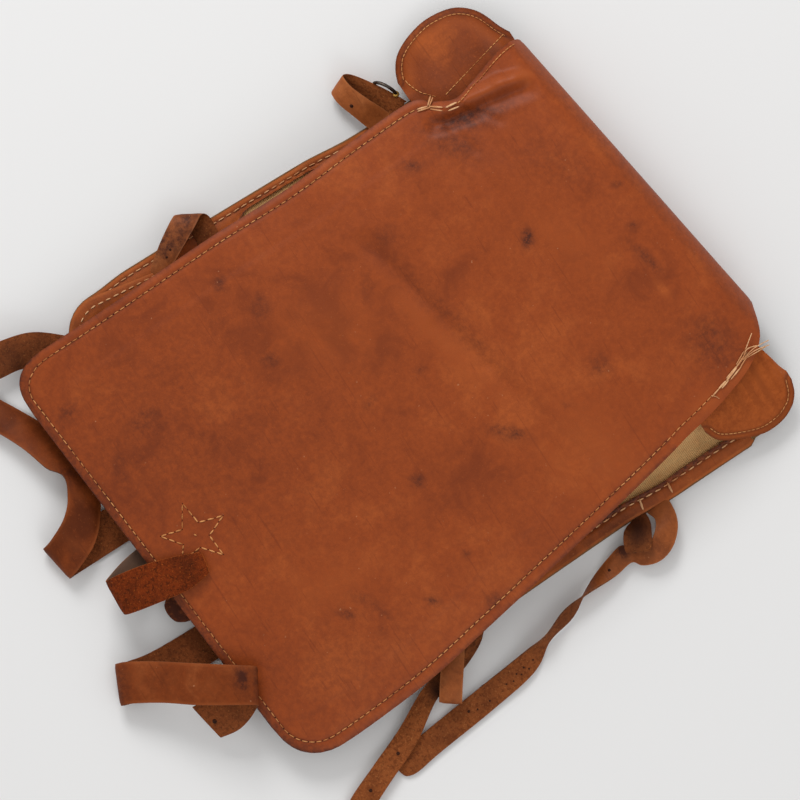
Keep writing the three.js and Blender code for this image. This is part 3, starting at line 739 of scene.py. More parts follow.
# Rows from the free edge to the hinge: y, skew, left, right, then middle, left and right heights
FLAP_ROWS = (
    (-233.5, 0.075, -158, 183.5, 26, 22, 19), (-203.5, 0.075, -158.5, 187, 32, 26, 22),
    (-160, 0.07, -158.6, 185.5, 37.5, 30, 25), (-115, 0.06, -159.4, 181.5, 42, 33, 28),
    (-60, 0.05, -160.3, 172.5, 45, 36, 31), (0, 0.05, -159.4, 162, 46.5, 37, 33.5),
    (55, 0.05, -162.6, 152, 47, 38, 36), (106, 0.06, -163.5, 141.5, 47.5, 38.5, 38),
    (121, 0.075, -155, 137.5, 47.5, 38.5, 39), (138, 0.09, -148, 134, 48, 38, 39.5),
    (158, 0.105, -152.5, 128.5, 48, 38, 40), (180.5, 0.12, -158.5, 120, 47, 38.5, 40),
    (197, 0.14, -161, 106.5, 42, 38, 38.5), (206.5, 0.148, -160, 87, 32, 26, 28),
    (207.5, 0.148, -156.5, 82, 21, 18, 19), (200, 0.142, -152, 82, 11, 10, 10.5),
    (185, 0.13, -146, 88, 7.2, 7.2, 7.2), (168, 0.13, -140, 90, 6.1, 6.1, 6.1),
)
FLAP_DROP_POWER = 2.6
FOLDS_FADE = (11, 12)
# Folds along a line in plan: from x, y to x, y, then height and half breadth
FLAP_FOLDS = (
    (-147, 110, -133, 186, 4.5, 9), (-140, 102, -125, 172, -4, 10), (-96, 16, 136, 65, -1.6, 14),
)
FLAP_CREASES = (
    (-92, 19, 20, 42, -0.7, 5), (20, 42, 130, 70, -0.5, 6), (-98, 10, -30, 24, 0.7, 8),
    (-150, 118, -118, 142, -0.8, 5), (-145, 118, -142, 156, 1.4, 8), (-142, 156, -131, 188, 1.4, 8),
    (-132, 136, -124, 172, 1.8, 10), (-146, 108, -110, 116, -0.6, 6), (100, 160, 122, 120, 0.7, 8),
    (84, 186, 112, 150, -0.9, 8),
)
# Dark marks in the hide, mostly stains with some painted shade: x, y, half length, half width, heading,
# strength
FLAP_STAINS_AND_SHADE = (
    (-133, 122, 24, 7, 74, 0.7), (-60, -178, 120, 70, 57, 0.16), (-125, 74, 7, 4, 57, 0.45),
    (-94, 30, 7.7, 6.3, 117, 0.28), (-72, 2, 4.2, 8.4, 57, 0.2), (-39, 113, 3.5, 5.6, 57, 0.9),
    (17, 175, 11.2, 2.8, 15, 0.55), (-6, 180, 3.5, 2.8, 57, 0.4), (-37, 186, 3.5, 2.8, 57, 0.4),
    (-130, -84, 3.5, 5.6, 57, 0.55), (-101, -69, 5.6, 7, 57, 0.45), (-65, -83, 6.3, 5.6, 57, 0.42),
    (-109, -98, 8.4, 7, 57, 0.15), (-85, -147, 9.8, 5.6, 37, 0.2), (-78, -179, 14, 8.4, 87, 0.4),
    (-112, -223, 7, 9.8, 27, 0.45), (-61, -213, 5.6, 11.2, 77, 0.4), (-3, -41, 6.3, 2.1, 102, 0.28),
    (-3, 0, 4.2, 2.8, 77, 0.25), (62, 107, 5.6, 6.3, 57, 0.42), (73, 73, 2.2, 2.2, 57, 0.3),
    (67, 28, 11.2, 3.5, 47, 0.65), (61, -43, 4.2, 3.5, 27, 0.68), (112, -118, 9.8, 2.8, 32, 0.35),
    (125, -113, 7.7, 3.5, 7, 0.28), (112, -135, 6.3, 2.8, 37, 0.5), (135, -120, 5.6, 4.2, 17, 0.2),
    (137, -80, 4.2, 2.8, 57, 0.6), (160, -44, 4.9, 4.9, 57, 0.5), (122, -42, 2.5, 2, 57, 0.42),
    # Painted shade: (93, 183) at the right head corner, (-30, 36) along a crease and (-122, 106) under the
    # left ear's fold
    (93, 183, 14, 18, 107, 0.42), (10, -108, 42, 31.5, 57, 0.1), (-70, 161, 28, 12.6, 27, 0.15),
    (-30, 36, 46, 6, 13, 0.24), (-122, 106, 16, 9, 45, 0.45), (145, -170, 55, 42, 57, 0.12),
)
FLAP_RUBS = (
    (126, 154, 15.4, 5.6, 102, 0.6), (118, 188, 16, 3.5, 110, 0.8), (42, 173, 5.6, 2.8, 12, 0.9),
    (-13, 24, 42, 7, 12, 0.35), (109, 45, 35, 7, 12, 0.25), (89, -134, 21, 11.2, 77, 0.25),
    (-26, 132, 28, 14, 27, 0.2), (-143, 143, 20, 3, 85, 0.5), (-136, 174, 16, 3, 70, 0.5),
    (-61, -37, 32, 22, 57, 0.22), (112, 76, 34, 18, 12, 0.3),
)
HEM = 8.5
HEM_LEFT = 6.6
HEM_WIDTH = 1.5
HEM_DIP = 0.55
HEM_TOP = 7.3
HEM_GRIME = 0.45
SKIVED_DROP = 0.6
SKIVED_EDGE = 4
HEM_STEPS = [0, 1.2, 2.8, 4.8, 6.6, 8.5, 10.4, 12.1, 13.8, 15.5, 17.2, 19]
SIDE_STEPS = HEM_STEPS + [20.7, 22.4, 24.1, 25.8, 27.5, 29.2]
FLAP_STEP = 2.5
FLAP_FINE_STEP = 1.5
FLAP_FINE_ROWS = (7, 12)
FLAP_MIDDLE_COLUMNS = 116
FLAP_CUT = (345, 500)
FLAP_EDGE = 0.7
SLACK_WAVES = ((0.75, 52, 1.3), (0.3, 20, 4.1))
SPOT_FADE = 0.7
ROW_STEP = 0.02


def fold_sum(folds, x, y):
    total = 0
    for from_x, from_y, to_x, to_y, height, breadth in folds:
        dx = to_x - from_x
        dy = to_y - from_y
        t = clamp(((x - from_x) * dx + (y - from_y) * dy) / (dx * dx + dy * dy), 0, 1)
        away = math.hypot(x - from_x - t * dx, y - from_y - t * dy)
        total += height * fading(away, 0, breadth)
    return total


def spot_sum(spots, x, y):
    total = 0
    for at_x, at_y, long, wide, heading, strength in spots:
        turn = math.radians(heading)
        along = ((x - at_x) * math.cos(turn) + (y - at_y) * math.sin(turn)) / long
        across = ((y - at_y) * math.cos(turn) - (x - at_x) * math.sin(turn)) / wide
        total = max(total, strength * math.exp(-SPOT_FADE * (along * along + across * across)))
    return total


def flap_row(place):
    y, skew, left, right, *heights = along_table(FLAP_ROWS, place)
    inset = corner_inset(place * CORNER, CORNER) if place < 1 else 0
    return y, skew, left + inset, right - inset, heights, inset


def hem_distance(x, place):
    """How far a point is from the flap's stitched edges, the two sides and the bottom."""
    y, skew, left, right, heights, inset = flap_row(place)
    side = min((x - left) * HEM / HEM_LEFT, right - x) + inset
    rise = place * CORNER if place < 1 else CORNER + y - FLAP_ROWS[1][0]
    if side < CORNER and rise < CORNER:
        return CORNER - math.hypot(CORNER - side, CORNER - rise)
    return min(side, rise)


def flap_point(x, place):
    y, skew, left, right, (middle, low, high), inset = flap_row(place)
    share = clamp(2 * (x - left) / (right - left) - 1, -1, 1)
    y += skew * x
    z = lerp(middle, low if share < 0 else high, abs(share) ** FLAP_DROP_POWER)
    fade = fading(place, *FOLDS_FADE)
    z += fade * (fold_sum(FLAP_FOLDS, x, y) + fold_sum(FLAP_CREASES, x, y))
    z += fade * sum(ripple(x, y, wave) for wave in SLACK_WAVES)
    if place < HEM_TOP:
        away = hem_distance(x, place)
        z -= HEM_DIP * bell(away, HEM, HEM_WIDTH)
        z -= SKIVED_DROP * fading(away, 0, SKIVED_EDGE)
    return Vector((x, y, z))


def flap_normal(x, place):
    across = flap_point(x + 1, place) - flap_point(x - 1, place)
    along = flap_point(x, place + ROW_STEP) - flap_point(x, max(place - ROW_STEP, 0))
    return across.cross(along).normalized()


flap_places = [rise / CORNER for rise in HEM_STEPS + [24.5]]
for k in range(1, len(FLAP_ROWS) - 1):
    here = FLAP_ROWS[k]
    ahead = FLAP_ROWS[k + 1]
    gap = math.hypot(ahead[0] - here[0], ahead[4] - here[4])
    pitch = FLAP_FINE_STEP if FLAP_FINE_ROWS[0] <= k < FLAP_FINE_ROWS[1] else FLAP_STEP
    flap_places += steps(k, k + 1, max(2, round(gap / pitch)))[:-1]
flap_places.append(len(FLAP_ROWS) - 1)
flap_columns = len(SIDE_STEPS) * 2 + FLAP_MIDDLE_COLUMNS - 2


def flap_x(i, place):
    left, right = flap_row(place)[2:4]
    edge = len(SIDE_STEPS)
    if i < edge:
        return left + SIDE_STEPS[i]
    if i > flap_columns - edge:
        return right - SIDE_STEPS[flap_columns - i]
    share = (i - edge + 1) / FLAP_MIDDLE_COLUMNS
    return lerp(left + SIDE_STEPS[-1], right - SIDE_STEPS[-1], share)


HIDDEN_MARKS = (0.15, 0.1)
STAIN_AND_SHADE_SHARE = 0.9
STAIN_AND_SHADE_WAVE = (0.4, 5.5, 9.2)
# The flap darkens at its edges, worn dark edges with painted shade, and the bottom border between hem and
# edge carries painted shade
BOTTOM_EDGE_WEAR_AND_SHADE = 0.8
SIDE_EDGE_WEAR_AND_SHADE = 0.42
EDGE_WEAR_AND_SHADE_FADE = (0.3, 2.6)
BORDER_SHADE = 0.4
BORDER_FADE = (HEM - 3, HEM + 1)
BORDER_ROWS = (0.4, 1)


def flap_marks(i, j):
    place = flap_places[j]
    x, y, z = flap_point(flap_x(i, place), place)
    if place > FOLDS_FADE[1]:
        return HIDDEN_MARKS
    # Stains and painted shade from the table
    dark = spot_sum(FLAP_STAINS_AND_SHADE, x, y) * (STAIN_AND_SHADE_SHARE + ripple(x, y, STAIN_AND_SHADE_WAVE))
    if place < HEM_TOP:
        away = hem_distance(x, place)
        # Worn dark edges with painted shade, and painted shade on the bottom border
        edge = (BOTTOM_EDGE_WEAR_AND_SHADE if place < 1 else SIDE_EDGE_WEAR_AND_SHADE) * fading(away, *EDGE_WEAR_AND_SHADE_FADE)
        border = BORDER_SHADE * fading(away, *BORDER_FADE) * fading(place, *BORDER_ROWS)
        dark = max(dark, HEM_GRIME * bell(away, HEM, HEM_WIDTH), edge, border)
    else:
        dark = max(dark, HEM_GRIME * fading(x - flap_row(place)[2], 0, RUBBED_EDGE))
    return dark, spot_sum(FLAP_RUBS, x, y)


FLAP_LOOK = ((150, 67, 22), (114, 47, 15), (174, 86, 34), 0.7)
flap_finish = finish_of("flap leather", hide_tree, FLAP_LOOK, 0.3, 0.35)
laid_piece(
    "flap_leather", "flap", (flap_columns, len(flap_places) - 1),
    lambda i, j: flap_point(flap_x(i, flap_places[j]), flap_places[j]), FLAP_LEATHER,
    [flap_finish, flesh_finish, cut_finish], FLAP_CUT, flap_marks, FLAP_EDGE,
)

SEAM_LIFT = 0.2
HALVINGS = 24


def on_flap(x, place):
    """A point for a thread on the flap's face, and the way up there."""
    up = flap_normal(x, place)
    return flap_point(x, place) + up * (FLAP_LEATHER / 2 + SEAM_LIFT), up


def halved(last, is_below):
    """The place in a table, up to its last one, where a test stops being true."""
    low, high = 0, last
    for _ in range(HALVINGS):
        middle = (low + high) / 2
        if is_below(middle):
            low = middle
        else:
            high = middle
    return (low + high) / 2


def on_flap_side(side, place, inwards):
    """A point on the flap's face, so far in from its left or right side."""
    left, right = along_table(FLAP_ROWS, place)[2:4]
    return on_flap(left + inwards if side < 0 else right - inwards, place)


def place_at(x, y):
    """The flap's row through a point of the plan."""
    def is_below(place):
        row_y, skew = along_table(FLAP_ROWS, place)[:2]
        return row_y + skew * x < y

    return halved(FOLDS_FADE[1], is_below)


def flap_line(points, count=12):
    """A path on the flap through points of the plan."""
    path = []
    for (x0, y0), (x1, y1) in zip(points, points[1:]):
        for t in steps(0, 1, count):
            x = lerp(x0, x1, t)
            path.append(on_flap(x, place_at(x, lerp(y0, y1, t))))
    return path


HEM_LEFT_TOP = 7.0
HEM_RIGHT_TOP = 9.6
HEM_STITCHES = (5.0, 4.2, 0.8, 3)
# Points on the hem's path: along the left side, round a corner, along the bottom and the right side
LEFT_POINTS, TURN_POINTS, BOTTOM_POINTS, RIGHT_POINTS = 120, 14, 90, 140
hem_turns = steps(0, QUARTER, TURN_POINTS)[1:]


def hem_turn(turn, hem):
    """Where a hem turns a lower corner: the flap's row, and how far in from its side."""
    radius = CORNER - hem
    return (CORNER - radius * math.sin(turn)) / CORNER, CORNER - radius * math.cos(turn)


hem_path = [on_flap_side(-1, place, HEM_LEFT) for place in steps(HEM_LEFT_TOP, 1, LEFT_POINTS)]
for turn in hem_turns:
    hem_path.append(on_flap_side(-1, *hem_turn(turn, lerp(HEM_LEFT, HEM, turn / QUARTER))))
bottom_left, bottom_right = along_table(FLAP_ROWS, HEM / CORNER)[2:4]
bottom_xs = steps(bottom_left + CORNER, bottom_right - CORNER, BOTTOM_POINTS)[1:-1]
hem_path += [on_flap(x, HEM / CORNER) for x in bottom_xs]
hem_path += [on_flap_side(1, *hem_turn(turn, HEM)) for turn in reversed(hem_turns)]
hem_path += [on_flap_side(1, place, HEM) for place in steps(1, HEM_RIGHT_TOP, RIGHT_POINTS)]
flap_sewing = bmesh.new()
needle_holes = bmesh.new()
sew(flap_sewing, hem_path, *HEM_STITCHES, needle_holes)
new_piece("hem_stitches", flap_sewing, [gold_thread])


# Star: a plain five-pointed outline stitched by hand near the flap's lower edge.
# The thread is pale and lies on the surface in two or three stitches to each side.
STAR_POINTS = (
    (-15.4, -189.3), (1.9, -187.2), (7.3, -169.8), (13.7, -185.7), (30.2, -184.7),
    (17.3, -195.5), (18.1, -211.1), (9.1, -204.4), (-4.4, -214.8), (-0.1, -199.2),
)
STAR_THREAD = 1.25
STAR_SWAY = 5
STITCHES_TO_A_SIDE = 3
STITCH_SHARE = 0.82
STAR_MIDDLE = ((7.2, -194.2), (9.4, -193.0))
MIDDLE_STITCH = (2.0, 2.4, 1.2)
star_sewing = bmesh.new()
for start, end in zip(STAR_POINTS, STAR_POINTS[1:] + STAR_POINTS[:1]):
    pitch = math.dist(start, end) / STITCHES_TO_A_SIDE
    side_path = flap_line((start, end))
    sew(star_sewing, side_path, pitch, pitch * STITCH_SHARE, STAR_THREAD, STAR_SWAY, needle_holes)
sew(star_sewing, flap_line(STAR_MIDDLE, 2), *MIDDLE_STITCH)
new_piece("star_stitches", star_sewing, [gold_thread])


# Ears: two rounded lobes of leather sewn under the flap's upper sides, drooping over the bag's corners.
# A stitched hem follows the free edge, and the left seam has a second row on the flap.
# Rows across a lobe: y, seam x, edge x, seam height, edge height
LEFT_EAR_ROWS = (
    (97, -166, -180, 28, 18), (101, -157, -189, 30.5, 15), (108, -152, -197, 32, 13),
    (120, -145, -203, 34, 11), (136, -143, -206.5, 34, 10), (152, -146, -205, 34.6, 10),
    (163, -150, -200, 35, 11), (172, -154, -190, 33.6, 14), (178, -158, -175, 28.2, 20),
    (182, -161, -167.5, 23.6, 21.4),
)
RIGHT_EAR_ROWS = (
    (144, 133, 142, 37.1, 31), (149, 130, 151.5, 37.1, 24), (162, 125, 159, 37.1, 17),
    (179, 118, 165, 36.6, 13), (194, 111, 164.5, 36, 12), (205, 108, 160, 34.4, 13),
    (209.5, 119.5, 156, 31, 14.2), (212.5, 131, 151.5, 24.5, 15.6), (215.2, 137, 144, 20, 18),
)
EARS = (
    ("left_ear_leather", "ear_left", LEFT_EAR_ROWS),
    ("right_ear_leather", "ear_right", RIGHT_EAR_ROWS),
)
EAR_DROOP_POWER = 1.5
EAR_HEM = 4.2
EAR_DIP = 0.5
EAR_WAVE = (0.5, 17, 6.2)
EAR_WAVE_RISE = (2, 12)
EAR_STREAKS = (0.45, 7, 5.3)
EAR_STREAKS_RISE = (6, 24)
# Painted shade on the ear's rounded rim
EAR_RIM_SHADE = 0.5
EAR_RIM_SHADE_WIDTH = 3
EAR_COLUMNS = 34
EAR_STEPS = 54
EAR_CUT = (62, 84)
EAR_EDGE = 0.6
EAR_LOOK = ((128, 58, 21), (94, 40, 14), (178, 90, 38), 0.7)
EAR_SHEEN = 0.08
RIGHT_EAR_RUB = 0.8
EAR_RIDGE = (10, 4)
EAR_RIDGE_RUB = 0.3
EAR_HEM_STITCHES = (3.4, 3.3, 0.75, 3)
EAR_SEAM_STITCHES = (3.4, 3.2, 0.75, 3)
ear_finish = finish_of("ear leather", hide_tree, EAR_LOOK, 0.4, 0.4, EAR_SHEEN)
ear_sewing = bmesh.new()


def ear_height(rows, x, y):
    """The lobe's height over a point of the plan."""
    place = halved(len(rows) - 1, lambda place: along_table(rows, place)[0] < y)
    _, seam, edge, seam_height, edge_height = along_table(rows, place)
    share = clamp((x - seam) / (edge - seam), 0, 1)
    return lerp(seam_height, edge_height, share**EAR_DROOP_POWER)


for ear_name, ear_node, ear_rows in EARS:
    leftward = ear_rows[0][2] < ear_rows[0][1]
    ear_places = steps(0, len(ear_rows) - 1, EAR_STEPS)
    outline = []
    for place in ear_places:
        y, _, edge, *_ = along_table(ear_rows, place)
        outline.append(Vector((edge, y)))

    def ear_flat(i, j):
        """A point of the smooth lobe, and how far it is from the free edge."""
        share = i / EAR_COLUMNS
        y, seam, edge, seam_height, edge_height = along_table(ear_rows, ear_places[j])
        share = 1 - share if leftward else share
        x = lerp(seam, edge, share)
        away = min((Vector((x, y)) - point).length for point in outline)
        return x, y, lerp(seam_height, edge_height, share**EAR_DROOP_POWER), away

    def ear_point(i, j):
        x, y, z, away = ear_flat(i, j)
        wave = ripple(x, y, EAR_WAVE) * smoothstep(away, *EAR_WAVE_RISE)
        return x, y, z - EAR_DIP * bell(away, EAR_HEM, HEM_WIDTH) + wave

    def ear_marks(i, j):
        x, y, z, away = ear_flat(i, j)
        stitched = HEM_GRIME * bell(away, EAR_HEM, HEM_WIDTH)
        streak = ripple(0, y, EAR_STREAKS) * smoothstep(away, *EAR_STREAKS_RISE)
        # Stitch line, streaks and painted shade on the rim
        dark = max(stitched, streak, EAR_RIM_SHADE * fading(away, 0, EAR_RIM_SHADE_WIDTH))
        return dark, max(0 if leftward else RIGHT_EAR_RUB, EAR_RIDGE_RUB * bell(away, *EAR_RIDGE))

    laid_piece(
        ear_name, ear_node, (EAR_COLUMNS, EAR_STEPS),
        ear_point, LEATHER, [ear_finish, flesh_finish, cut_finish], EAR_CUT, ear_marks, EAR_EDGE,
    )
    hem = []
    for before, here, after in zip(outline, outline[1:], outline[2:]):
        inward = (after - before).orthogonal().normalized()
        inward = inward if (inward.x > 0) == leftward else -inward
        x, y = here + inward * EAR_HEM
        if ear_rows[0][0] < y < ear_rows[-1][0]:
            rise = ear_height(ear_rows, x, y) + LEATHER / 2 + SEAM_LIFT / 2
            slope = ear_height(ear_rows, x + inward.x, y) - ear_height(ear_rows, x - inward.x, y)
            up = Vector((-inward.x * slope / 2, 0, 1)).normalized()
            hem.append((Vector((x, y, rise)), up))
    sew(ear_sewing, hem, *EAR_HEM_STITCHES)

# The left lobe's seam and the turn of its hem, as points of the plan
EAR_SEAM = ((-154.5, 120.0), (-168.0, 176.5))
EAR_TURN = ((-178.6, 102.2), (-174.5, 102.8), (-166, 106.2), (-158, 113))
WELT_ENDS = (8.7, 12.4)
WELT_INSET = 3.2
SEAM_POINTS = 30
EAR_TURN_POINTS = 24
WELT_POINTS = 60


def on_left_ear(x, y):
    return Vector((x, y, ear_height(LEFT_EAR_ROWS, x, y) + LEATHER / 2 + SEAM_LIFT)), UP


seam_spots = zip(*(steps(start, end, SEAM_POINTS) for start, end in zip(*EAR_SEAM)))
seam_row = [on_left_ear(x, y) for x, y in seam_spots]
sew(ear_sewing, seam_row, *EAR_SEAM_STITCHES)
turn_places = steps(0, len(EAR_TURN) - 1, EAR_TURN_POINTS)
turn_row = [on_left_ear(*along_table(EAR_TURN, place)) for place in turn_places]
sew(ear_sewing, turn_row, *EAR_HEM_STITCHES)
welt_row = [on_flap_side(-1, place, WELT_INSET) for place in steps(*WELT_ENDS, WELT_POINTS)]
sew(ear_sewing, welt_row, *EAR_SEAM_STITCHES[:3])
new_piece("ear_stitches", ear_sewing, [gold_thread])
# Needle holes and punched holes are dark caps: painted shade for the inside of each hole
HOLE_SHADE_LOOK = ((62, 30, 15), (34, 16, 8), (90, 48, 24))
hole_shade_finish = finish_of("dark hole", flesh_tree, HOLE_SHADE_LOOK, 0.4, 0.4)
new_piece("needle_holes", needle_holes, [hole_shade_finish])


# Mended seams: thick doubled thread where the ears meet the flap, sewn again by hand.
# The long stitches lie over one another, and cut ends of thread stand out at the right corner.
# Long stitches: from x, y to x, y, then thickness
MEND_RUNS = (
    (-156.5, 96.5, -153.3, 106, 1.5), (-155, 97, -151.8, 106.5, 1.3),
    (-153.6, 105.3, -146.6, 114.6, 1.6), (-152, 105, -145.2, 114, 1.3),
    (-146.6, 114, -145, 125, 1.6), (-144.8, 115, -143.2, 124.5, 1.3),
    (-153.7, 104.6, -159.6, 110.8, 1.4), (-152.4, 105.6, -158, 111.6, 1.2),
    (123.5, 160, 121, 169, 1.2), (121.5, 167, 119, 176, 1.7), (122.5, 169, 119.5, 178, 1.2),
    (119.5, 175, 115.5, 187, 1.7), (118, 176, 114.5, 188, 1.2), (120.5, 178, 116.5, 190, 1.2),
    (115.5, 186, 110, 199, 1.7), (117, 188, 111, 201, 1.1), (114, 187, 108.5, 197, 1.1),
)
MEND_LIFT = 0.3
MEND_SWAY = 2
THREAD_TAPER = 2.2
THREAD_LAP = 1.06
mend_sewing = bmesh.new()
for x0, y0, x1, y1, thick in MEND_RUNS:
    long = math.hypot(x1 - x0, y1 - y0)
    ends = [on_flap(x, place_at(x, y)) for x, y in ((x0, y0), (x1, y1))]
    sew(mend_sewing, [(point + up * MEND_LIFT, up) for point, up in ends], long, long, thick, MEND_SWAY)


def thread_end(mesh, points, thick):
    """A loose end of thread as a chain of thin tapering cones."""
    for start, end in zip(points, points[1:]):
        heading = end - start
        move = Matrix.Translation(spot(*((start + end) / 2)))
        turn = heading.to_track_quat("Z", "Y").to_matrix().to_4x4()
        bmesh.ops.create_cone(
            mesh, cap_ends=True, segments=6, radius1=thick * MM / 2, radius2=thick * MM / THREAD_TAPER,
            depth=heading.length * MM * THREAD_LAP, matrix=move @ turn,
        )


# Loose ends of thread: x, y and the height over the flap at the root, at three points of each
LOOSE_ENDS = (
    ((113, 193.3, 0.3), (107.5, 200, 2.2), (101.4, 208.3, 1.8)),
    ((113.2, 193.5, 0.3), (111, 204, 2), (111.9, 215.5, -1)),
    ((113.4, 193.4, 0.3), (112.8, 204, 1.6), (115, 214.3, -1.5)),
    ((113.6, 193.2, 0.1), (114.3, 203, 1), (114.6, 211.5, -1)),
    ((113.2, 193, 0.4), (109, 199.5, 2.6), (110.5, 206.5, 1.4)),
    ((122.5, 161, 0.3), (125, 163.5, -0.4), (127.5, 164.5, -1.2)),
)
LOOSE_THREAD = 0.8
LOOSE_PARTS = 10
for points in LOOSE_ENDS:
    root_x, root_y, _ = points[0]
    level = on_flap(root_x, place_at(root_x, root_y))[0].z
    rows = [(x, y, level + rise) for x, y, rise in points]
    bowed = [Vector(along_table(rows, place)) for place in steps(0, len(rows) - 1, LOOSE_PARTS)]
    thread_end(mend_sewing, bowed, LOOSE_THREAD)
new_piece("mended_seam_threads", mend_sewing, [pale_thread])


# Shoulder straps: two bridle-leather straps sewn under the back panel, coming out below the bag.
# The left one loops back to the lower corner, and the right one folds over itself to a punched end.
STRAP = 2.4
FLOOR_LEVEL = STRAP / 2
SHOULDER_WIDTH = 28
# Stations of a strap: x, y, z, heading and slope of its width, share of its full width
LEFT_SHOULDER_ROWS = (
    (-34, 150, FLOOR_LEVEL, 0, 0, 1), (-31, 0, FLOOR_LEVEL, 0, 0, 1), (-28, -150, FLOOR_LEVEL, 0, 0, 1),
    (-28, -255, FLOOR_LEVEL, 4, 0, 1), (-28, -280, 2, 9, 0, 1), (-28, -287, 7.5, 9, 0, 1),
    (-30, -279, 13.5, 11, 0, 1), (-38, -262, 14.5, 17, -4, 1), (-50, -250, 13, 22, -14, 1),
    (-68, -241, 11.5, 42, -24, 1), (-90, -245, 10, 95, -32, 1), (-112.5, -253, 8, 130, -28, 0.92),
    (-135, -264, 6.5, 147, -18, 0.9), (-154, -275, 5.5, 147, -6, 0.95), (-166, -279, 12, 147, 6, 1),
    (-171, -262, 17.5, 147, 10, 1), (-169, -241.5, 16, 147, 14, 0.96), (-164.5, -223, 13.5, 138, 14, 0.94),
    (-153.5, -209.5, 12, 128, 4, 1), (-140, -196, 10.5, 120, 0, 1),
)
RIGHT_SHOULDER_ROWS = (
    (70, 150, FLOOR_LEVEL, 0, 0, 1), (73, 0, FLOOR_LEVEL, 0, 0, 1), (76, -150, FLOOR_LEVEL, 0, 0, 1),
    (75, -255, FLOOR_LEVEL, -6, 0, 1), (70, -289, 2.2, -22, 0, 1.04), (67, -297, 9.5, -25, 0, 1.06),
    (70, -289, 16.5, -24, 0, 1.06), (81, -271, 23, -22, 0, 1.06), (96, -250, 32, -26, 0, 1.06),
    (112, -226, 40, -30, 0, 1), (119.5, -215.5, 38, -31, 0, 0.98), (120.5, -217.5, 32.5, -27, 0, 0.98),
    (123, -227.5, 28.5, -16, 0, 1), (124.5, -243.5, 21, 0, 0, 1.04), (122.5, -259.5, 14, 10, 0, 1.05),
)
STRAP_SHARES = [-1, -0.93, -0.82, -0.6, -0.3, 0, 0.3, 0.6, 0.82, 0.93, 1]
STRAP_STEP = 2.6
STRAP_EDGE = 0.45
STRAP_WAVE = (0.25, 1.0)
STRAP_WAVE_RATE = 3.1
STRAP_GRIME = (0.3, 18, 8.4)
STRAP_WEAR = (0.3, 12, 2.2)
STRAP_EDGE_WEAR = 0.55
STRAP_EDGE_RISE = (0.8, 1)
GRAIN_SHEEN = 0.1
STRAP_GRAIN = ((126, 58, 22), (84, 36, 12), (156, 84, 42), 0.9)
STRAP_FLESH = ((132, 68, 30), (92, 44, 16), (176, 112, 60))
STRAP_CUT = ((128, 74, 42), (76, 38, 20), (170, 112, 70))
strap_grain = finish_of("strap grain side", hide_tree, STRAP_GRAIN, 0.45, 0.4, GRAIN_SHEEN)
strap_flesh = finish_of("strap flesh side", flesh_tree, STRAP_FLESH, 0.7, 0.7)
strap_cut = finish_of("strap cut edge", flesh_tree, STRAP_CUT, 0.5, 0.4)


def strap_point(rows, width, share, place):
    x, y, z, compass, slope, part = along_table(rows, place)
    turn = math.radians(compass)
    lean = math.radians(slope)
    side = Vector((math.cos(turn) * math.cos(lean), math.sin(turn) * math.cos(lean), math.sin(lean)))
    centre = Vector((x, y, max(z, FLOOR_LEVEL)))
    return centre + side * (share * width * part / 2)


def strap_places(rows):
    """Stations close together along a strap, so that its bends stay round."""
    places = []
    for k, (here, ahead) in enumerate(zip(rows, rows[1:])):
        gap = (Vector(here[:3]) - Vector(ahead[:3])).length
        places += steps(k, k + 1, max(4, round(gap / STRAP_STEP)))[:-1]
    return places + [len(rows) - 1]


def strap_piece(name, node, rows, width, finishes, round_end=0.0, stains_and_shade=()):
    """A strap along its table. round_end pulls the corners of the far end back, in stations."""
    places = strap_places(rows)
    last = len(rows) - 1
    middle = [strap_point(rows, width, 0, place) for place in places]
    long = sum((a - b).length for a, b in zip(middle, middle[1:]))

    def point(i, j):
        share = STRAP_SHARES[i]
        pull = round_end * (1 - math.sqrt(max(0, 1 - share * share)))
        place = places[j] * (1 - pull / last)
        here = strap_point(rows, width, share, place)
        if here.z > STRAP:
            here.z += ripple(place * STRAP_WAVE_RATE, share, (*STRAP_WAVE, len(name) + 0.5))
        return here

    def marks(i, j):
        here = strap_point(rows, width, STRAP_SHARES[i], places[j])
        dark = spot_sum(stains_and_shade, here.x, here.y) + max(0, ripple(here.x, here.y, STRAP_GRIME))
        worn = max(0, ripple(here.x, here.y, STRAP_WEAR))
        return dark, worn + STRAP_EDGE_WEAR * smoothstep(abs(STRAP_SHARES[i]), *STRAP_EDGE_RISE)

    return laid_piece(
        name, node, (len(STRAP_SHARES) - 1, len(places) - 1),
        point, STRAP, finishes, (width, long), marks, STRAP_EDGE,
    )


GRAIN_UP = [strap_grain, strap_flesh, strap_cut]
FLESH_UP = [strap_flesh, strap_grain, strap_cut]
# Painted shade where the strap comes out under the flap's edge, and inside its loop at the left
LEFT_SHOULDER_SHADE = ((-75, -240, 22, 10, 60, 0.35), (-165, -240, 20, 16, 60, 0.5))
# A stain at the roll's end (110, -221), painted shade over the roll at (119, -213), and darker at the lower
# fold
RIGHT_SHOULDER_STAINS_AND_SHADE = (
    (110, -221, 3.5, 7, 60, 1.0), (119, -213, 4, 18, 60, 0.5), (70, -296, 20, 4, 150, 0.4),
)
SHOULDER_STRAPS = (
    ("left_shoulder_strap_leather", "shoulder_strap_left", LEFT_SHOULDER_ROWS, LEFT_SHOULDER_SHADE),
    ("right_shoulder_strap_leather", "shoulder_strap_right", RIGHT_SHOULDER_ROWS, RIGHT_SHOULDER_STAINS_AND_SHADE),
)
for strap_name, strap_node, rows, stains_and_shade in SHOULDER_STRAPS:
    strap_piece(strap_name, strap_node, rows, SHOULDER_WIDTH, GRAIN_UP, 0, stains_and_shade)


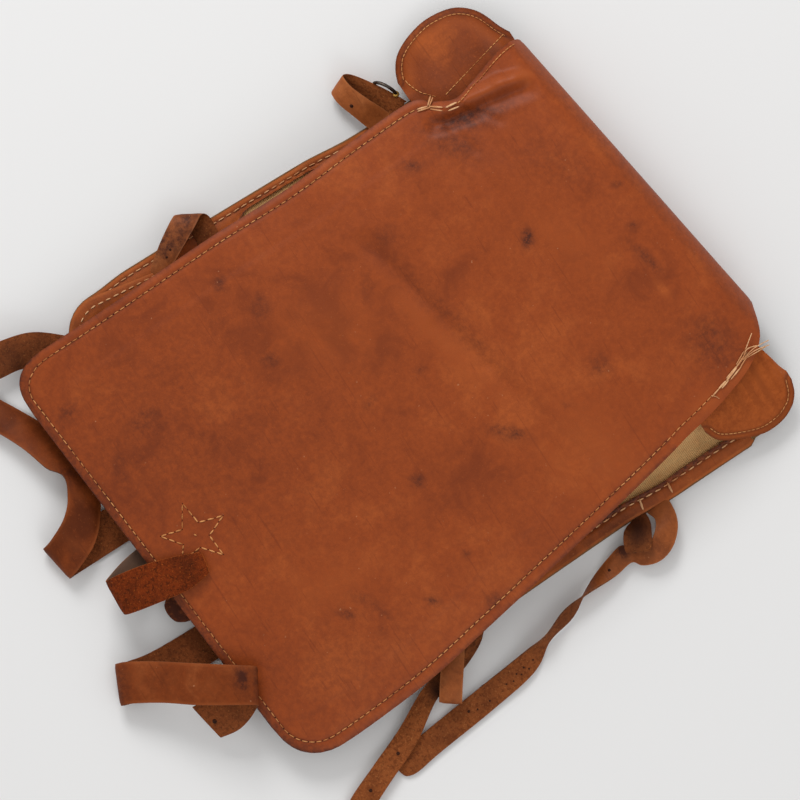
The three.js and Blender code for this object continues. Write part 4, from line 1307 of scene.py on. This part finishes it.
# Closing strap and bottom tab: the strap comes from under the flap and lies back over its hem, with
# its rough flesh side up; the tab is a short rounded end on the bottom binding.
TAB_WIDTH = 26
TAB_LEVEL = 12.7
CLOSING_ROWS = (
    (3, -190, TAB_LEVEL, 0, 0, 0.9), (4.5, -215, 13, 4, 0, 0.9), (8, -244, 14, 2, 0, 0.9),
    (12, -261, 17, -3, 0, 0.9), (14.5, -265, 23.5, -4, 0, 0.94), (16, -258, 29.5, -6, 0, 1.02),
    (20, -238, 33.5, -8, 0, 1.02), (25.5, -215, 36, -10, 0, 0.88), (28, -198, 38, -11, 0, 0.55),
)
TAB_ROWS = (
    (42, -178, TAB_LEVEL, 0, 0, 1), (43.5, -205, TAB_LEVEL, 2, 0, 1),
    (44.5, -230, 11.5, 4, 0, 0.95), (45, -241, 10.5, 4, 0, 0.45),
)
ROUGH_FLESH = ((118, 47, 13), (66, 25, 6), (186, 94, 34))
ROUGH_CUT = ((186, 102, 44), (130, 64, 24), (210, 140, 76))
DULL_GRAIN = ((94, 65, 47), (62, 40, 28), (122, 94, 74), 1.0)
CLOSING_FINISHES = [
    finish_of("closing strap flesh side", flesh_tree, ROUGH_FLESH, 0.9, 1.0, GRAIN_SHEEN),
    finish_of("closing strap grain side", hide_tree, DULL_GRAIN, 0.4, 0.4),
    finish_of("closing strap cut edge", flesh_tree, ROUGH_CUT, 0.5, 0.4, GRAIN_SHEEN),
]
CLOSING_ROUND = 0.06
TAB_ROUND = 0.3
# Painted shade where the tab lies under the flap's edge
TAB_SHADE = ((44, -232, 16, 20, 0, 0.8),)
strap_piece(
    "closing_strap_leather", "closing_strap", CLOSING_ROWS, SHOULDER_WIDTH, CLOSING_FINISHES, CLOSING_ROUND
)
strap_piece("bottom_tab_leather", "bottom_tab", TAB_ROWS, TAB_WIDTH, FLESH_UP, TAB_ROUND, TAB_SHADE)


# Side straps: narrow leather straps sewn to the side bindings, two on each side.
# The upper right one is knotted through a keeper, and the lower right one runs through a loop.
SIDE_WIDTH = 18
ROOT_LEVEL = 7.5
LEFT_UPPER_ROWS = (
    (-153, 74, ROOT_LEVEL, 98, 0, 1), (-164, 72, 9, 100, 8, 1), (-178, 66.5, 13.5, 106, 28, 1),
    (-192, 61.5, 15, 111, 34, 1), (-200, 60.5, 14.5, 112, 36, 1), (-203, 61.5, 11.2, 112, 38, 1),
    (-200.5, 65.5, 8.5, 110, 40, 1.1), (-191, 72, 9, 106, 38, 1.15), (-176, 81, 11, 104, 32, 1.1),
    (-164, 86.5, 12, 104, 20, 1.05),
)
LEFT_LOWER_ROWS = (
    (-160, -74, ROOT_LEVEL, 88, 0, 0.9), (-172, -73, ROOT_LEVEL, 80, 0, 0.95), (-180, -74, 10, 66, 0, 1),
    (-182.5, -77, 14.5, 56, 0, 1), (-179.5, -83, 18, 48, 4, 1), (-171, -98, 19, 40, 6, 0.9),
    (-164, -110, 18.5, 36, 4, 0.75), (-160.5, -119, 18, 32, 2, 0.45),
)
RIGHT_UPPER_ROWS = (
    (167.4, 88.5, STRIP_LEVEL, 91, 0, 1), (177.2, 88.9, 8, 70, 0, 0.85), (185, 84.3, 11, 60, -6, 0.9),
    (191.5, 76.2, 12, 38, -10, 0.9), (193.5, 67.2, 11, 8, -10, 0.85), (190, 58, 8.5, -8, -6, 0.8),
    (184, 51.5, 6, 2, 0, 0.8), (186.5, 37.5, 6, 2, 20, 0.75), (191, 15, 7.4, 16, 76, 0.6),
    (197, -5, 7.4, 18, 130, 0.66), (203.5, -27, 7.6, 16, 112, 0.66), (211, -50, 4.6, 10, 165, 0.9),
    (216, -88, 1.8, 8, 178, 1), (221, -135, 1.4, 10, 180, 1), (224.5, -157, 1.4, 12, 180, 0.95),
    (226, -165, 1.4, 12, 180, 0.5),
)
KEEPER_ROWS = (
    (167, 72.5, STRIP_LEVEL, 91, 0, 0.7), (171.5, 70, 10, 66, 0, 0.95), (176, 66, 15.5, 58, 0, 1.1),
    (181.5, 62.5, 16.5, 62, 0, 1.1), (185.8, 60, 16.3, 62, 4, 1), (187.6, 59, 14.2, 62, 6, 0.85),
)
RIGHT_LOWER_ROWS = (
    (157, -59.5, ROOT_LEVEL, 75, 0, 0.7), (166, -62.5, 9.5, 62, 0, 0.65), (174.5, -71, 12.5, 44, -12, 0.75),
    (180.5, -84, 10.5, 20, -12, 0.8), (186, -98, 9, 12, -4, 0.72), (192, -119, 7.5, 24, 0, 0.7),
    (208, -147, 4.6, 24, 0, 0.88), (220, -176, 5, 26, 0, 0.92), (230, -200, 4, 28, 0, 0.92),
    (234, -211, 3, 28, 0, 0.5),
)
LOOP_ROWS = (
    (160, -82, 16.5, 68, 0, 0.9), (174, -87, 17, 62, 0, 0.9), (192, -100, 17.5, 55, 0, 0.9),
    (202, -107, 15.5, 54, 0, 0.9), (204, -108.3, 9, 54, 0, 0.9), (199.5, -105.4, 2.8, 54, 0, 0.9),
    (190, -99, 1.3, 55, 0, 0.85), (178, -91, 1.3, 58, 0, 0.8),
)
SIDE_SHEEN = 0.12
SIDE_GRAIN = ((152, 82, 40), (108, 54, 24), (182, 112, 64), 0.8)
SIDE_FLESH = ((140, 76, 37), (98, 48, 21), (182, 120, 68))
TAN_GRAIN = ((168, 93, 47), (122, 62, 29), (196, 122, 72), 0.8)
side_grain = finish_of("side strap grain side", hide_tree, SIDE_GRAIN, 0.45, 0.4, SIDE_SHEEN)
side_flesh = finish_of("side strap flesh side", flesh_tree, SIDE_FLESH, 0.6, 0.5, SIDE_SHEEN)
tan_grain = finish_of("worn side strap grain side", hide_tree, TAN_GRAIN, 0.45, 0.4, SIDE_SHEEN)
TAN_GRAIN_UP = [tan_grain, side_flesh, strap_cut]
SIDE_GRAIN_UP = [side_grain, side_flesh, strap_cut]
SIDE_FLESH_UP = [side_flesh, side_grain, strap_cut]
# A dark patch on the folded-back run, and painted shade on the fold's far side at (-181, -78)
LEFT_LOWER_STAINS_AND_SHADE = ((-172, -95, 30, 14, 60, 0.5), (-181, -78, 6, 14, 20, 0.7))
# Painted shadow round the knot by the binding and under its ring, painted shade on the twisted stretch at
# (195, 0), and a long dark stain down the tail
KNOT_SHADE_AND_STAINS = (
    (170, 66, 5, 9, 20, 1.1), (178, 52, 4, 8, 60, 1.0), (173, 77, 4, 7, 60, 0.5),
    (204, -60, 100, 16, -79, 0.25), (195, 0, 18, 8, -75, 0.5),
)
# Painted shadow where the strap goes into the loop, and painted shade lines along its curl
LOOPED_SHADE = (
    (193, -113, 11, 5.5, -18, 1.1), (181.5, -73, 7, 1.4, -70, 0.9), (176, -70, 8, 1.4, -64, 0.8),
    (186, -82, 6, 1.4, -70, 0.8), (179, -82, 9, 2, -72, 0.7),
)
# Painted shade inside the keeper's wrap
KEEPER_SHADE = ((173, 67, 10, 14, 60, 1.0), (183, 61, 8, 10, 60, 0.35))
LOOP_STAINS = ((186, -96, 24, 16, -35, 0.08),)
# Straps: piece, node, table, finishes, rounding of the end, stains and painted shade
SIDE_STRAPS = (
    ("left_upper_strap", "side_strap_left_upper", LEFT_UPPER_ROWS, TAN_GRAIN_UP, 0, ()),
    ("left_lower_strap", "side_strap_left_lower", LEFT_LOWER_ROWS, SIDE_FLESH_UP, 0.3, LEFT_LOWER_STAINS_AND_SHADE),
    ("right_upper_strap", "side_strap_right_upper", RIGHT_UPPER_ROWS, SIDE_FLESH_UP, 0.3, KNOT_SHADE_AND_STAINS),
    ("right_keeper", "side_keeper_right", KEEPER_ROWS, SIDE_GRAIN_UP, 0.7, KEEPER_SHADE),
    ("right_lower_strap", "side_strap_right_lower", RIGHT_LOWER_ROWS, SIDE_GRAIN_UP, 0.3, LOOPED_SHADE),
    ("right_loop", "side_loop_right", LOOP_ROWS, SIDE_FLESH_UP, 0, LOOP_STAINS),
)
for strap_name, strap_node, rows, finishes, round_end, stains_and_shade in SIDE_STRAPS:
    strap_piece(f"{strap_name}_leather", strap_node, rows, SIDE_WIDTH, finishes, round_end, stains_and_shade)


# Punched holes: small round holes for the buckle tongues, dark inside.
# Each is set on the strap it was punched through, at its upper face.
HOLES = (
    (RIGHT_SHOULDER_ROWS, SHOULDER_WIDTH, 125, -254, 1.8),
    (LEFT_UPPER_ROWS, SIDE_WIDTH, -184, 62, 1.4),
    (LEFT_LOWER_ROWS, SIDE_WIDTH, -168, -101, 0.9),
    (LEFT_LOWER_ROWS, SIDE_WIDTH, -165, -106, 0.9),
    (RIGHT_UPPER_ROWS, SIDE_WIDTH, 187.5, 35, 1.1),
    (RIGHT_UPPER_ROWS, SIDE_WIDTH, 216.4, -100.3, 1.1),
    (RIGHT_LOWER_ROWS, SIDE_WIDTH, 214, -158, 1.3),
    (RIGHT_LOWER_ROWS, SIDE_WIDTH, 226, -190, 1.3),
)
PRICKS = (
    (210.6, -44.8), (213.9, -48.6), (211.4, -53.1), (214.7, -55.8), (212.5, -59.9), (215.4, -62.4),
    (214.5, -69.6), (218.6, -83.9), (218.5, -94.4),
)
PRICK_RADIUS = 0.7
HOLE_RIM = 0.35
HOLE_DEPTH = 1.0
HOLE_TAPER = 0.92
HOLE_SHARES = steps(-0.8, 0.8, 16)
SMALL_STEP = 0.1
# Of two runs at one place in plan, the upper one is punched
UPPER_RUN_PULL = 0.05
pricked = tuple((RIGHT_UPPER_ROWS, SIDE_WIDTH, x, y, PRICK_RADIUS) for x, y in PRICKS)
hole_mesh = bmesh.new()
for rows, width, x, y, radius in HOLES + pricked:
    spots = []
    for place in strap_places(rows):
        for share in HOLE_SHARES:
            here = strap_point(rows, width, share, place)
            miss = math.hypot(here.x - x, here.y - y) - here.z * UPPER_RUN_PULL
            spots.append((miss, share, place))
    miss, share, place = min(spots)
    here = strap_point(rows, width, share, place)
    across = strap_point(rows, width, share + SMALL_STEP, place) - here
    along = strap_point(rows, width, share, min(place + SMALL_STEP, len(rows) - 1)) - here
    up = across.cross(along).normalized()
    up = up if up.z > 0 else -up
    turn = up.to_track_quat("Z", "Y").to_matrix().to_4x4()
    move = Matrix.Translation(spot(*(here + up * (STRAP / 2 - HOLE_RIM))))
    bmesh.ops.create_cone(
        hole_mesh, cap_ends=True, segments=16, radius1=radius * MM, radius2=radius * MM * HOLE_TAPER,
        depth=HOLE_DEPTH * MM, matrix=move @ turn,
    )
# The holes' dark caps are painted shade
new_piece("punched_holes", hole_mesh, [hole_shade_finish])


# Buckle: an oval of dark iron wire that stands in the left upper side strap, with a small brass bead
# on its inner end.
BUCKLE_RADIUS = 8.5
BUCKLE_STRETCH = 0.7
WIRE = 1.3
BUCKLE_PLACE = (-181.5, 87, 14)
BUCKLE_TILT = 66
BUCKLE_HEADING = 29
BEAD_RADIUS = 2.4
BEAD_LENGTH = 5.0
BEAD_BEVEL = 0.6
METALLIC = 0.85
metal_tree, metal_in, metal_out = new_group("tarnished metal", ("Main", "Rust"))
metal_place = object_place(metal_tree)
metal_rust = between(noise_node(metal_place, 260, 5, 0.65), 0.46, 0.64)
metal_colour = blended(metal_rust, metal_in["Main"], metal_in["Rust"])
put_out(metal_out, metal_colour, metal_rust, (0.35, 0.7), noise_node(metal_place, 900, 3, 0.6))
iron_finish = finish_of("dark iron wire", metal_tree, ((78, 70, 64), (58, 34, 22)), 0.4, 0.15)
brass_finish = finish_of("worn brass", metal_tree, ((196, 150, 76), (120, 80, 36)), 0.3, 0.1)
for finish in (iron_finish, brass_finish):
    finish.node_tree.nodes["Principled BSDF"].inputs["Metallic"].default_value = METALLIC

to_wire = Matrix.Translation((BUCKLE_RADIUS * MM, 0, 0)) @ Matrix.Rotation(QUARTER, 4, "X")
wire = bmesh.new()
bmesh.ops.create_circle(wire, segments=12, radius=WIRE * MM, matrix=to_wire)
bmesh.ops.spin(
    wire, geom=wire.verts[:] + wire.edges[:], cent=(0, 0, 0), axis=(0, 0, 1), angle=math.tau,
    steps=48, use_merge=True,
)
bmesh.ops.remove_doubles(wire, verts=wire.verts[:], dist=0.01 * MM)
bmesh.ops.recalc_face_normals(wire, faces=wire.faces[:])
bmesh.ops.scale(wire, verts=wire.verts[:], vec=(1, BUCKLE_STRETCH, 1))
buckle_turn = (
    Matrix.Translation(spot(*BUCKLE_PLACE))
    @ Matrix.Rotation(math.radians(BUCKLE_HEADING), 4, "Z")
    @ Matrix.Rotation(math.radians(BUCKLE_TILT), 4, "X")
)
bmesh.ops.transform(wire, matrix=buckle_turn, verts=wire.verts[:])
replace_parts(new_piece("buckle_wire", wire, [iron_finish]), "buckle")

bead = bmesh.new()
bmesh.ops.create_cone(
    bead, cap_ends=True, segments=20, radius1=BEAD_RADIUS * MM, radius2=BEAD_RADIUS * MM,
    depth=BEAD_LENGTH * MM, matrix=buckle_turn @ to_wire,
)
bmesh.ops.bevel(
    bead, geom=bead.edges[:], offset=BEAD_BEVEL * MM, affect="EDGES", segments=2, profile=0.5, material=-1
)
new_piece("brass_bead", bead, [brass_finish])
